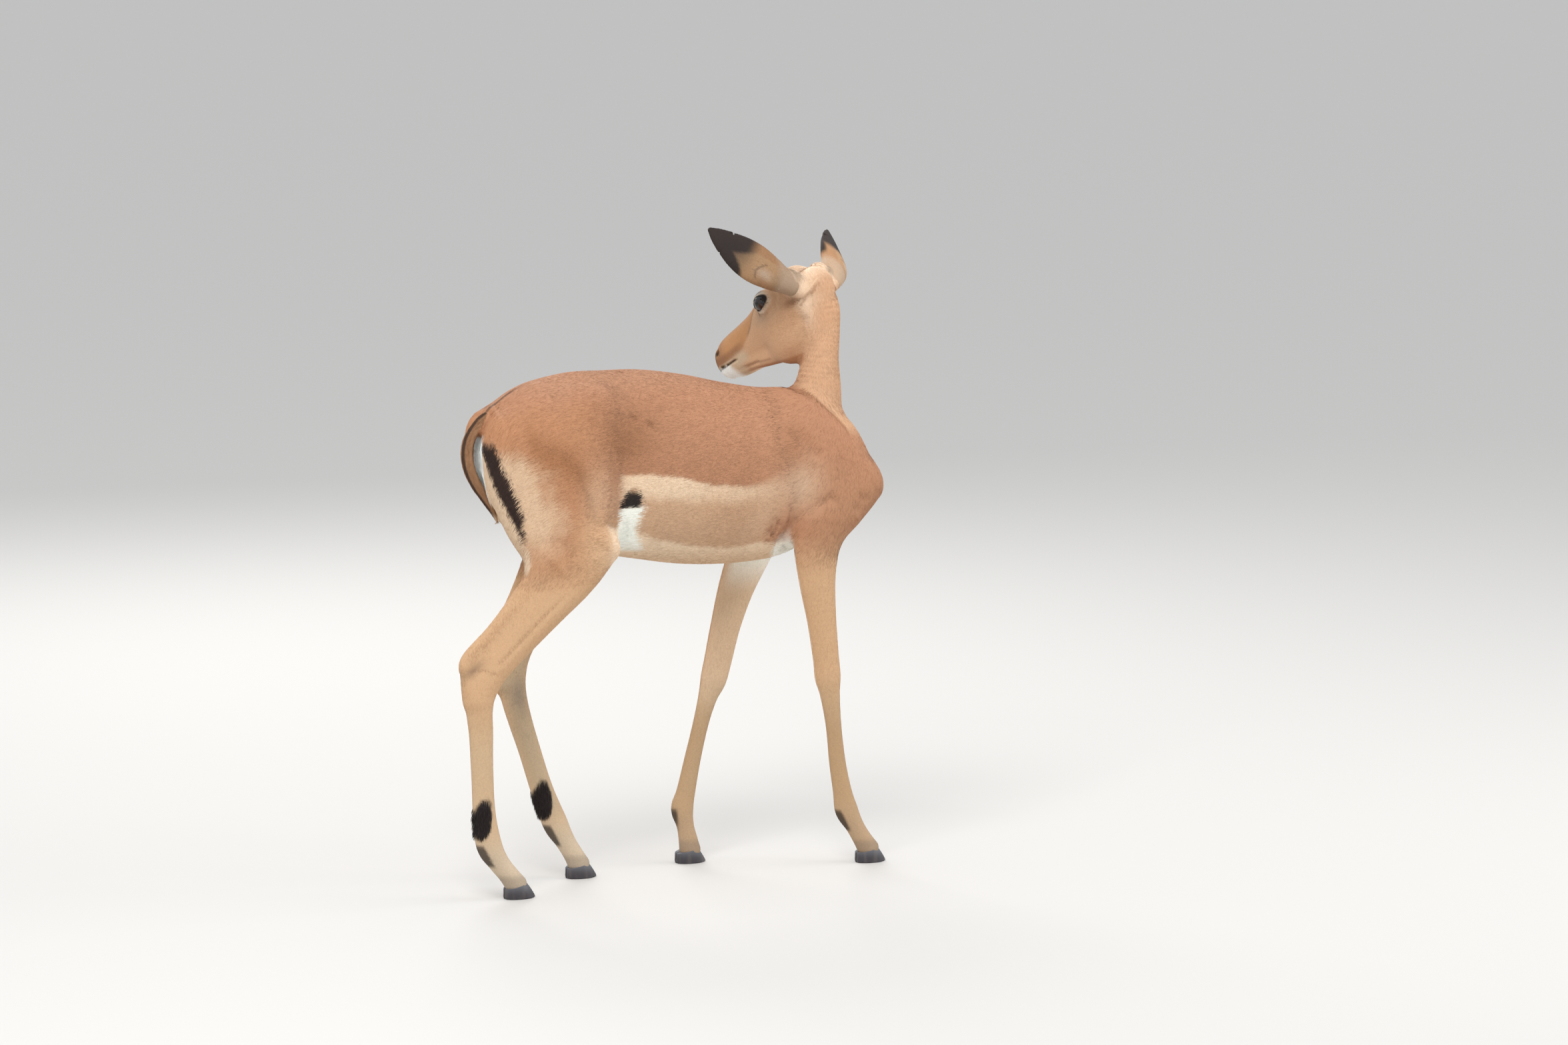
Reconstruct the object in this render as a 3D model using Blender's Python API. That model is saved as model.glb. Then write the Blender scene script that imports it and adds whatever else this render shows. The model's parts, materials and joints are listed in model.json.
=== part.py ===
"""Impala ewe, life size, standing with the head turned back over the left shoulder.

Metres. +X is the way the body faces, +Y the animal's left, +Z up, and the floor is z = 0.
The body is one smooth volume made of tubes and ovals that melt into each other. Thin flat
cuts then part it into the head, neck, trunk, tail, ears and the lengths of each leg.
"""
import math

import bmesh
import bpy
import numpy as np
from mathutils import Matrix, Vector

# ---------------------------------------------------------------- driving sizes
CENTRE_SHIFT = (0.0188, -0.0642, 0.0)  # brings the middle of the footprint box to the origin
CUT_GAP = 0.0004                      # width of the cut between two neighbouring pieces
BODY_TRIANGLES = 4700
EAR_TRIANGLES = 440
TAIL_TRIANGLES = 260

HEAD_HEADING = math.radians(114)      # where the face points, turned from +X to the left
HEAD_PITCH = math.radians(29)         # nose down
HEAD_ROLL = math.radians(4)           # left side down
EYE_MIDDLE = np.array([0.248, 0.109, 0.964])
EYE_RADIUS = 0.0155
EYE_PLACE = (0.0035, 0.0378, 0.0016)  # ahead, aside and above the middle between the eyes
EAR_LENGTH = 0.172
EAR_WALL = 0.0045                     # thickness of the ear with its fur
EAR_STUMP = 0.024                     # length of the ear's root that stays with the head

HOOF_LENGTH = 0.055
CLAW_WIDTH = 0.0175
CLAW_GAP = 0.0016
CORONET_FRONT = 0.030                 # height of the hoof's upper edge at the toe
CORONET_HEEL = 0.017

RIGHT, LEFT = -1.0, 1.0
FEET = {
    "right_hind": (-0.326, -0.065),
    "left_hind": (-0.157, 0.052),
    "right_fore": (0.349, -0.044),
    "left_fore": (0.069, 0.090),
}


# ---------------------------------------------------------------- smooth solids
def unit(vector):
    vector = np.asarray(vector, dtype=float)
    return vector / np.linalg.norm(vector)


def spline(rows, steps):
    """Catmull-Rom curve through rows of numbers."""
    rows = np.asarray(rows, dtype=float)
    padded = np.vstack([2 * rows[0] - rows[1], rows, 2 * rows[-1] - rows[-2]])
    curve = []
    for i in range(len(rows) - 1):
        before, start, end, after = padded[i:i + 4]
        for t in np.arange(steps) / steps:
            slope = end - before
            bend = 2 * before - 5 * start + 4 * end - after
            twist = 3 * start - before - 3 * end + after
            curve.append(start + 0.5 * (slope * t + bend * t * t + twist * t ** 3))
    curve.append(rows[-1])
    return np.array(curve)


class Tube:
    """Oval tube. Each row is x, y, z, half width, depth in front, depth behind."""

    def __init__(self, rows, front=(1, 0, 0), blend=0.012, steps=5, cap=1.0):
        rows = np.asarray(rows, dtype=float)
        fronts = np.asarray(front, dtype=float)
        if fronts.ndim == 1:
            fronts = np.tile(fronts, (len(rows), 1))
        dense = spline(np.hstack([rows, fronts]), steps)
        self.axis = dense[:, :3]
        self.sizes = np.maximum(dense[:, 3:6], 0.001)
        along = np.gradient(self.axis, axis=0)
        along /= np.linalg.norm(along, axis=1)[:, None]
        ahead = dense[:, 6:9]
        ahead = ahead - along * np.sum(ahead * along, axis=1)[:, None]
        self.ahead = ahead / np.linalg.norm(ahead, axis=1)[:, None]
        self.along = along
        self.blend = blend
        self.cap = cap
        reach = self.sizes.max() + blend + 0.012
        self.low = self.axis.min(axis=0) - reach
        self.high = self.axis.max(axis=0) + reach

    def distance(self, points):
        best = np.full(len(points), 1e9)
        place = np.zeros(len(points))
        for i in range(len(self.axis) - 1):
            start = self.axis[i]
            span = self.axis[i + 1] - start
            offset = points - start
            t = np.clip(offset @ span / (span @ span), 0, 1)
            gap = offset - t[:, None] * span
            far = np.einsum("ij,ij->i", gap, gap)
            nearer = far < best
            best = np.where(nearer, far, best)
            place = np.where(nearer, i + t, place)
        whole = np.minimum(place.astype(int), len(self.axis) - 2)
        part = (place - whole)[:, None]

        def between(values):
            return values[whole] * (1 - part) + values[whole + 1] * part

        offset = points - between(self.axis)
        sizes = between(self.sizes)
        along = between(self.along)
        ahead = between(self.ahead)
        side = np.cross(along, ahead)
        across = np.einsum("ij,ij->i", offset, side)
        fore = np.einsum("ij,ij->i", offset, ahead)
        end = np.einsum("ij,ij->i", offset, along)
        inner = (place > 0) & (place < len(self.axis) - 1)
        reach = np.sqrt(across ** 2 + fore ** 2) + 1e-9
        stretch = np.where(inner, np.sqrt(reach ** 2 + end ** 2) / reach, 1.0)
        across = across * stretch
        fore = fore * stretch
        end = np.where(inner, 0.0, end)
        wide = sizes[:, 0]
        deep = np.where(fore > 0, sizes[:, 1], sizes[:, 2])
        cap = self.cap * np.minimum(wide, np.minimum(sizes[:, 1], sizes[:, 2]))
        return oval_distance((across, fore, end), (wide, deep, cap))


class Ball:
    """Oval ball with half sizes along three directions."""

    def __init__(self, centre, sizes, forward=(1, 0, 0), up=(0, 0, 1), blend=0.02):
        self.centre = np.asarray(centre, dtype=float)
        self.sizes = sizes
        forward = unit(forward)
        side = unit(np.cross(up, forward))
        self.turn = np.array([forward, side, np.cross(forward, side)]).T
        self.blend = blend
        reach = max(sizes) + blend + 0.012
        self.low = self.centre - reach
        self.high = self.centre + reach

    def distance(self, points):
        local = (points - self.centre) @ self.turn
        return oval_distance(local.T, self.sizes)


def oval_distance(parts, sizes):
    near = np.sqrt(sum((p / s) ** 2 for p, s in zip(parts, sizes))) + 1e-9
    slope = np.sqrt(sum((p / s ** 2) ** 2 for p, s in zip(parts, sizes))) + 1e-9
    return near * (near - 1) / slope


def melt(first, second, blend):
    """Smaller of two distances, rounded where they meet."""
    overlap = np.maximum(blend - np.abs(first - second), 0) / blend
    return np.minimum(first, second) - overlap * overlap * blend / 4


FAR = 0.08


class Body:
    """Solids that melt together, then hollows that are carved away."""

    def __init__(self, solids, hollows=()):
        self.solids = solids
        self.hollows = hollows

    def distance(self, points):
        total = np.full(len(points), FAR)
        for solid in self.solids:
            near = self.within(points, solid)
            if near.any():
                total[near] = melt(total[near], solid.distance(points[near]), solid.blend)
        for hollow in self.hollows:
            near = self.within(points, hollow)
            if near.any():
                total[near] = -melt(-total[near], hollow.distance(points[near]), hollow.blend)
        return total

    @staticmethod
    def within(points, solid):
        return np.all((points > solid.low) & (points < solid.high), axis=1)


class Carved:
    """A solid with hollows of its own."""

    def __init__(self, solid, hollows):
        self.solid = solid
        self.hollows = hollows
        self.low, self.high, self.blend = solid.low, solid.high, solid.blend

    def distance(self, points):
        total = self.solid.distance(points)
        for hollow in self.hollows:
            total = -melt(-total, hollow.distance(points), hollow.blend)
        return total


def mirrored(rows, side):
    """Rows written for the right side, on the side asked for."""
    rows = np.asarray(rows, dtype=float).copy()
    rows[:, 1] = side * np.abs(rows[:, 1])
    return rows


# ---------------------------------------------------------------- trunk, neck and tail
def trunk_forms():
    """Barrel through x, half width, height of the back and height of the belly."""
    barrel = [
        (-0.345, 0.048, 0.826, 0.660),
        (-0.310, 0.068, 0.850, 0.620),
        (-0.270, 0.082, 0.865, 0.590),
        (-0.210, 0.087, 0.875, 0.573),
        (-0.150, 0.092, 0.875, 0.563),
        (-0.080, 0.100, 0.873, 0.550),
        (0.000, 0.106, 0.861, 0.536),
        (0.070, 0.106, 0.845, 0.530),
        (0.140, 0.098, 0.832, 0.530),
        (0.200, 0.085, 0.827, 0.537),
        (0.260, 0.070, 0.812, 0.562),
        (0.310, 0.052, 0.770, 0.592),
        (0.338, 0.032, 0.723, 0.618),
    ]
    rows = []
    for x, wide, back, belly in barrel:
        middle = 0.705 - 0.06 * x
        rows.append((x, 0, middle, wide, back - middle, middle - belly))
    forms = [Tube(rows, front=(0, 0, 1), blend=0.02, cap=0.5)]
    for side in (RIGHT, LEFT):
        forms += [
            Ball((-0.262, side * 0.046, 0.760), (0.085, 0.040, 0.070), blend=0.05),
            Ball((-0.190, side * 0.058, 0.825), (0.036, 0.018, 0.024), blend=0.04),
            Ball((-0.333, side * 0.045, 0.777), (0.028, 0.020, 0.027), blend=0.035),
            Ball((0.235, side * 0.048, 0.715), (0.052, 0.038, 0.100), (1, 0, 0.42), blend=0.04),
            Ball((0.315, side * 0.054, 0.664), (0.035, 0.030, 0.040), blend=0.04),
            Ball((0.290, side * 0.038, 0.715), (0.042, 0.036, 0.062), (1, 0, 0.4), blend=0.04),
        ]
    forms.append(Ball((0.307, 0, 0.640), (0.042, 0.045, 0.052), blend=0.025))
    return forms


def neck_forms():
    """Neck that rises steeply and twists from the chest's heading to the head's."""
    rows = [
        (0.225, 0.000, 0.690, 0.060, 0.066, 0.070),
        (0.258, 0.005, 0.760, 0.050, 0.054, 0.058),
        (0.276, 0.014, 0.820, 0.041, 0.048, 0.048),
        (0.284, 0.021, 0.870, 0.0335, 0.040, 0.041),
        (0.289, 0.026, 0.915, 0.0315, 0.038, 0.038),
        (0.288, 0.030, 0.955, 0.0325, 0.041, 0.038),
        (0.280, 0.042, 0.990, 0.0310, 0.038, 0.034),
    ]
    turns = [math.radians(a) for a in (0, 15, 42, 70, 92, 108, 114)]
    fronts = [(math.cos(a), math.sin(a), 0) for a in turns]
    return [Tube(rows, fronts, blend=0.02)]


TAIL = [
    (-0.335, 0.0, 0.812, 0.0160, 0.0140, 0.0120),
    (-0.362, 0.0, 0.798, 0.0160, 0.0120, 0.0100),
    (-0.382, 0.0, 0.773, 0.0180, 0.0090, 0.0090),
    (-0.388, 0.0, 0.747, 0.0200, 0.0090, 0.0090),
    (-0.384, 0.0, 0.720, 0.0210, 0.0090, 0.0090),
    (-0.372, 0.0, 0.694, 0.0200, 0.0090, 0.0090),
    (-0.358, 0.0, 0.672, 0.0160, 0.0080, 0.0080),
    (-0.343, 0.0, 0.648, 0.0100, 0.0060, 0.0060),
    (-0.334, 0.0, 0.630, 0.0050, 0.0040, 0.0040),
]
TAIL_STUB_END = (-0.374, 0.0, 0.783, 0.0172, 0.0104, 0.0094)
TAIL_CLEARANCE = 0.0030
TAIL_CUT = ((-0.3725, 0, 0.7865), (0.55, 0, 0.83))     # place, direction up the tail


def tail_groove():
    """Hollow that keeps the hanging tail clear of the rump."""
    rows = [(x, y, z, *(size + TAIL_CLEARANCE for size in sizes)) for x, y, z, *sizes in TAIL[2:]]
    return Tube(rows, blend=0.004, cap=0.3)


# ---------------------------------------------------------------- legs
def fore_leg_forms(side, rows, elbow):
    shoulder = (0.328, side * 0.058, 0.662)
    upper = [
        (*shoulder, 0.030, 0.036, 0.036),
        ((shoulder[0] + elbow[0]) / 2, side * 0.066, 0.622, 0.033, 0.040, 0.046),
        (*elbow, 0.032, 0.042, 0.046),
    ]
    return [
        Tube(upper, blend=0.025),
        Ball((elbow[0] + 0.005, side * 0.064, 0.640), (0.046, 0.030, 0.060), blend=0.025),
        Tube(mirrored(rows, side), blend=0.014),
    ]


RIGHT_FORE = [
    (0.240, 0.066, 0.610, 0.0350, 0.0450, 0.0480),
    (0.234, 0.065, 0.560, 0.0300, 0.0430, 0.0440),
    (0.236, 0.063, 0.500, 0.0260, 0.0340, 0.0350),
    (0.246, 0.060, 0.430, 0.0220, 0.0270, 0.0275),
    (0.2555, 0.057, 0.365, 0.0200, 0.0240, 0.0245),
    (0.260, 0.055, 0.330, 0.0205, 0.0240, 0.0240),
    (0.265, 0.054, 0.298, 0.0165, 0.0185, 0.0185),
    (0.2735, 0.051, 0.245, 0.0135, 0.0145, 0.0150),
    (0.2825, 0.048, 0.180, 0.0135, 0.0155, 0.0160),
    (0.2925, 0.0465, 0.130, 0.0145, 0.0175, 0.0180),
    (0.3015, 0.0455, 0.095, 0.0165, 0.0210, 0.0220),
    (0.3180, 0.0450, 0.065, 0.0155, 0.0170, 0.0175),
    (0.3320, 0.0445, 0.042, 0.0165, 0.0175, 0.0175),
    (0.3440, 0.0440, 0.022, 0.0180, 0.0210, 0.0190),
]
LEFT_FORE = [
    (0.205, 0.070, 0.610, 0.0350, 0.0450, 0.0480),
    (0.181, 0.075, 0.545, 0.0300, 0.0420, 0.0430),
    (0.153, 0.080, 0.475, 0.0260, 0.0340, 0.0340),
    (0.134, 0.083, 0.410, 0.0220, 0.0280, 0.0285),
    (0.1205, 0.086, 0.350, 0.0200, 0.0260, 0.0260),
    (0.1115, 0.087, 0.315, 0.0205, 0.0245, 0.0240),
    (0.1010, 0.088, 0.285, 0.0165, 0.0180, 0.0175),
    (0.0885, 0.089, 0.240, 0.0135, 0.0148, 0.0150),
    (0.0735, 0.090, 0.180, 0.0135, 0.0155, 0.0160),
    (0.0610, 0.090, 0.125, 0.0145, 0.0175, 0.0185),
    (0.0540, 0.090, 0.095, 0.0165, 0.0205, 0.0220),
    (0.0590, 0.090, 0.066, 0.0155, 0.0160, 0.0165),
    (0.0640, 0.090, 0.042, 0.0165, 0.0175, 0.0175),
    (0.0670, 0.090, 0.022, 0.0180, 0.0210, 0.0190),
]


def hind_leg_forms(side, thigh, shank, tendon, ham):
    return [
        Tube(mirrored(thigh, side), blend=0.03),
        Tube(mirrored(ham, side), blend=0.03),
        Tube(mirrored(shank, side), blend=0.014),
        Tube(mirrored(tendon, side), blend=0.025),
    ]


RIGHT_HIND = {
    "thigh": [
        (-0.280, 0.048, 0.755, 0.0440, 0.0800, 0.0700),
        (-0.258, 0.056, 0.690, 0.0440, 0.0900, 0.0800),
        (-0.236, 0.063, 0.625, 0.0410, 0.0880, 0.0700),
        (-0.218, 0.069, 0.575, 0.0350, 0.0740, 0.0600),
    ],
    "ham": [
        (-0.330, 0.036, 0.750, 0.0260, 0.0450, 0.0370),
        (-0.328, 0.043, 0.690, 0.0290, 0.0480, 0.0370),
        (-0.308, 0.054, 0.630, 0.0300, 0.0480, 0.0370),
        (-0.284, 0.065, 0.575, 0.0270, 0.0400, 0.0290),
    ],
    "shank": [
        (-0.180, 0.080, 0.590, 0.0300, 0.0380, 0.0400),
        (-0.222, 0.078, 0.537, 0.0305, 0.0350, 0.0500),
        (-0.275, 0.076, 0.485, 0.0270, 0.0300, 0.0450),
        (-0.328, 0.073, 0.432, 0.0205, 0.0260, 0.0330),
        (-0.370, 0.071, 0.393, 0.0190, 0.0270, 0.0260),
        (-0.394, 0.070, 0.362, 0.0195, 0.0290, 0.0270),
        (-0.400, 0.070, 0.328, 0.0185, 0.0250, 0.0240),
        (-0.397, 0.069, 0.285, 0.0160, 0.0225, 0.0220),
        (-0.395, 0.069, 0.220, 0.0150, 0.0205, 0.0205),
        (-0.391, 0.068, 0.150, 0.0155, 0.0205, 0.0215),
        (-0.382, 0.067, 0.096, 0.0185, 0.0225, 0.0240),
        (-0.364, 0.066, 0.064, 0.0165, 0.0185, 0.0195),
        (-0.347, 0.0655, 0.042, 0.0175, 0.0180, 0.0180),
        (-0.333, 0.065, 0.022, 0.0180, 0.0210, 0.0190),
    ],
    "tendon": [
        (-0.270, 0.074, 0.565, 0.0260, 0.0300, 0.0300),
        (-0.325, 0.073, 0.510, 0.0150, 0.0300, 0.0175),
        (-0.375, 0.072, 0.459, 0.0110, 0.0320, 0.0115),
        (-0.420, 0.0705, 0.411, 0.0115, 0.0340, 0.0140),
        (-0.424, 0.070, 0.385, 0.0110, 0.0240, 0.0100),
        (-0.414, 0.070, 0.345, 0.0110, 0.0120, 0.0100),
    ],
}
LEFT_HIND = {
    "thigh": [
        (-0.280, 0.048, 0.755, 0.0440, 0.0800, 0.0700),
        (-0.240, 0.056, 0.700, 0.0440, 0.0850, 0.0850),
        (-0.203, 0.063, 0.650, 0.0410, 0.0800, 0.0750),
        (-0.172, 0.069, 0.605, 0.0350, 0.0660, 0.0620),
    ],
    "ham": [
        (-0.330, 0.036, 0.750, 0.0260, 0.0450, 0.0370),
        (-0.310, 0.043, 0.700, 0.0290, 0.0480, 0.0370),
        (-0.277, 0.054, 0.650, 0.0300, 0.0480, 0.0370),
        (-0.238, 0.065, 0.595, 0.0270, 0.0400, 0.0290),
    ],
    "shank": [
        (-0.128, 0.080, 0.612, 0.0300, 0.0360, 0.0400),
        (-0.165, 0.078, 0.550, 0.0305, 0.0350, 0.0500),
        (-0.204, 0.075, 0.490, 0.0270, 0.0300, 0.0450),
        (-0.243, 0.070, 0.435, 0.0205, 0.0260, 0.0330),
        (-0.270, 0.066, 0.393, 0.0190, 0.0270, 0.0270),
        (-0.281, 0.063, 0.360, 0.0195, 0.0280, 0.0280),
        (-0.279, 0.061, 0.326, 0.0185, 0.0250, 0.0240),
        (-0.269, 0.059, 0.285, 0.0160, 0.0225, 0.0220),
        (-0.250, 0.057, 0.225, 0.0150, 0.0205, 0.0205),
        (-0.227, 0.056, 0.155, 0.0155, 0.0205, 0.0215),
        (-0.204, 0.055, 0.098, 0.0185, 0.0225, 0.0235),
        (-0.186, 0.054, 0.066, 0.0165, 0.0180, 0.0190),
        (-0.172, 0.053, 0.042, 0.0175, 0.0180, 0.0180),
        (-0.162, 0.052, 0.022, 0.0180, 0.0210, 0.0190),
    ],
    "tendon": [
        (-0.208, 0.074, 0.595, 0.0260, 0.0300, 0.0280),
        (-0.244, 0.072, 0.535, 0.0150, 0.0280, 0.0160),
        (-0.281, 0.068, 0.470, 0.0110, 0.0340, 0.0115),
        (-0.315, 0.064, 0.412, 0.0115, 0.0360, 0.0140),
        (-0.317, 0.063, 0.385, 0.0110, 0.0240, 0.0100),
        (-0.303, 0.062, 0.345, 0.0110, 0.0120, 0.0100),
    ],
}


# ---------------------------------------------------------------- head and ears
def head_axes():
    """Ahead, left and up of the head, as unit vectors."""
    ahead = np.array([math.cos(HEAD_HEADING), math.sin(HEAD_HEADING), 0])
    left = np.array([-ahead[1], ahead[0], 0])
    up = np.array([0, 0, 1.0])
    nose = ahead * math.cos(HEAD_PITCH) - up * math.sin(HEAD_PITCH)
    crown = ahead * math.sin(HEAD_PITCH) + up * math.cos(HEAD_PITCH)
    tilted_left = left * math.cos(HEAD_ROLL) - crown * math.sin(HEAD_ROLL)
    tilted_crown = crown * math.cos(HEAD_ROLL) + left * math.sin(HEAD_ROLL)
    return nose, tilted_left, tilted_crown


NOSE, CHEEK, CROWN = head_axes()


def on_head(ahead, aside, above):
    return EYE_MIDDLE + ahead * NOSE + aside * CHEEK + above * CROWN


def head_direction(ahead, aside, above):
    return unit(ahead * NOSE + aside * CHEEK + above * CROWN)


def head_ball(place, sizes, forward=(1, 0, 0), up=(0, 0, 1), blend=0.01):
    return Ball(on_head(*place), sizes, head_direction(*forward), head_direction(*up), blend)


def head_forms():
    """Skull and face through distance ahead of the eyes, half width, top and bottom."""
    profile = [
        (-0.092, 0.0270, 0.018, -0.042),
        (-0.068, 0.0380, 0.038, -0.060),
        (-0.035, 0.0415, 0.037, -0.073),
        (0.000, 0.0385, 0.027, -0.084),
        (0.030, 0.0325, 0.017, -0.092),
        (0.060, 0.0270, 0.006, -0.091),
        (0.090, 0.0240, 0.000, -0.089),
        (0.118, 0.0230, -0.004, -0.088),
        (0.142, 0.0220, -0.009, -0.085),
        (0.158, 0.0190, -0.017, -0.079),
    ]
    rows = []
    for ahead, wide, top, bottom in profile:
        middle = -0.027 - 0.16 * ahead
        rows.append((*on_head(ahead, 0, middle), wide, top - middle, middle - bottom))
    forms = [Tube(rows, CROWN, blend=0.012)]
    for side in (RIGHT, LEFT):
        forms += [
            head_ball((0.002, side * 0.032, 0.002), (0.026, 0.0155, 0.022), blend=0.012),
            head_ball((-0.004, side * 0.022, -0.078), (0.046, 0.016, 0.040), (1, 0, 0.25), blend=0.016),
            head_ball((0.045, side * 0.014, -0.085), (0.060, 0.010, 0.014), (1, 0, 0.18), blend=0.012),
            head_ball((-0.072, side * 0.040, 0.004), (0.022, 0.018, 0.026), blend=0.012),
        ]
    return forms


EAR_ROOTS = {LEFT: (-0.078, 0.050, -0.004), RIGHT: (-0.083, -0.053, -0.013)}
EAR_WAY = {LEFT: (0.24, 0.51, 0.82), RIGHT: (0.33, -0.71, 0.60)}
EAR_OUTER = {LEFT: (0, 1, -1), RIGHT: (0, -1, -1)}
EAR_BOW = 0.006
EAR_OPENING = {LEFT: (1, -0.60, 0), RIGHT: (1, 0.30, 0)}


def ear_root(side):
    return np.array(on_head(*EAR_ROOTS[side]))


def ear_middle(side, share):
    """Point on the middle of an ear, which bows towards its outer edge."""
    way = head_direction(*EAR_WAY[side])
    outer = head_direction(*EAR_OUTER[side])
    outer = unit(outer - way * (outer @ way))
    return ear_root(side) + way * EAR_LENGTH * share + outer * EAR_BOW * math.sin(math.pi * share)


def ear_form(side):
    """Cupped leaf. Rows hold place along the ear, half width, depth of the back, rim."""
    way = head_direction(*EAR_WAY[side])
    facing = head_direction(*EAR_OPENING[side])
    facing = unit(facing - way * (facing @ way))
    shape = [
        (0.00, 0.0205, 0.0190, 0.018),
        (0.12, 0.0275, 0.0210, 0.018),
        (0.28, 0.0340, 0.0205, 0.010),
        (0.45, 0.0365, 0.0170, 0.004),
        (0.62, 0.0335, 0.0125, 0.002),
        (0.78, 0.0255, 0.0090, 0.001),
        (0.92, 0.0150, 0.0060, 0.001),
        (1.00, 0.0060, 0.0040, 0.001),
    ]
    leaf, cup, mouth = [], [], []
    for t, wide, deep, rim in shape:
        centre = ear_middle(side, t)
        leaf.append((*centre, wide, 0.020 + 0.010 * t, deep))
        cup.append((*centre, wide - EAR_WALL, 0.034, deep - EAR_WALL))
        mouth.append((*(centre + facing * (rim + 0.05)), 0.30, 0.05, 0.05))
    hollows = [
        Tube(cup[2:-2], facing, blend=0.004, cap=0.6),
        Tube(mouth[2:] + [[2 * b - a for a, b in zip(mouth[-2], mouth[-1])]], facing, blend=0.002, cap=0.2),
    ]
    return Carved(Tube(leaf, facing, blend=0.012), hollows)


def ear_stump(side):
    """Start of the ear, which stays with the head."""
    facing = head_direction(*EAR_OPENING[side])
    rows = [(*ear_middle(side, t), wide, 0.020, deep)
            for t, wide, deep in ((0.0, 0.0205, 0.0190), (0.12, 0.0275, 0.0210), (0.16, 0.0292, 0.0210))]
    return Tube(rows, facing, blend=0.012, cap=0.2)


def whole_body():
    solids = trunk_forms() + neck_forms() + head_forms()
    solids += hind_leg_forms(RIGHT, **RIGHT_HIND) + hind_leg_forms(LEFT, **LEFT_HIND)
    solids += fore_leg_forms(RIGHT, RIGHT_FORE, (0.240, RIGHT * 0.066, 0.585))
    solids += fore_leg_forms(LEFT, LEFT_FORE, (0.205, LEFT * 0.070, 0.590))
    solids += [ear_stump(side) for side in (RIGHT, LEFT)]
    solids.append(Tube(TAIL[:2] + [TAIL_STUB_END], blend=0.006, cap=0.3))
    return Body(solids, [tail_groove()])


# ---------------------------------------------------------------- surface of the volume
def steps_between(stops):
    """Grid lines from (start, spacing) stops; the last stop is the end."""
    lines = [stops[0][0]]
    for (start, spacing), (end, _) in zip(stops, stops[1:]):
        count = max(1, round((end - start) / spacing))
        lines += list(start + (end - start) * np.arange(1, count + 1) / count)
    return np.array(lines)


def blocks_near_surface(body, lines, blocks, size, reach=1.6, slack=0.008):
    """Blocks of `size` cells whose middle is close enough to the surface."""
    corners = []
    for axis in range(3):
        low = lines[axis][np.minimum(blocks[:, axis] * size, len(lines[axis]) - 1)]
        high = lines[axis][np.minimum((blocks[:, axis] + 1) * size, len(lines[axis]) - 1)]
        corners.append((low, high))
    middle = np.stack([(low + high) / 2 for low, high in corners], axis=1)
    radius = np.sqrt(sum((high - low) ** 2 for low, high in corners)) / 2
    return blocks[np.abs(body.distance(middle)) < radius * reach + slack]


CORNERS = np.array([(i, j, k) for i in (0, 1) for j in (0, 1) for k in (0, 1)])
CELL_EDGES = [(a, b) for a in range(8) for b in range(a + 1, 8)
              if np.abs(CORNERS[a] - CORNERS[b]).sum() == 1]


def joined(members):
    """Whether the corners of a cell in `members` hang together along its edges."""
    found = set(list(members)[:1])
    for _ in range(8):
        for a, b in CELL_EDGES:
            if a in members and b in members and (a in found or b in found):
                found |= {a, b}
    return found == set(members)


def chequered(inside):
    """Whether some side of a cell has its corners in and out by turns."""
    for axis in range(3):
        for end in (0, 1):
            side = [c for c in range(8) if CORNERS[c, axis] == end]
            first, second, third, fourth = (corner in inside for corner in side)
            if first == fourth and second == third and first != second:
                return True
    return False


def tangled_patterns():
    """Corner patterns where one cell would hold two surfaces."""
    tangled = np.zeros(256, dtype=bool)
    for code in range(1, 255):
        inside = {corner for corner in range(8) if code >> corner & 1}
        whole = joined(inside) and joined(set(range(8)) - inside)
        tangled[code] = chequered(inside) or not whole
    return tangled


def fill_tangles(values, where, rounds=12):
    """Fills cells that would hold two surfaces, so that the skin stays one sheet."""
    tangled = tangled_patterns()
    for _ in range(rounds):
        code = ((values[where] < 0) << np.arange(8)).sum(axis=1)
        bad = where[tangled[code]]
        if len(bad) == 0:
            break
        values[bad.ravel()] = np.minimum(values[bad.ravel()], -1e-5)
    return values


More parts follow.
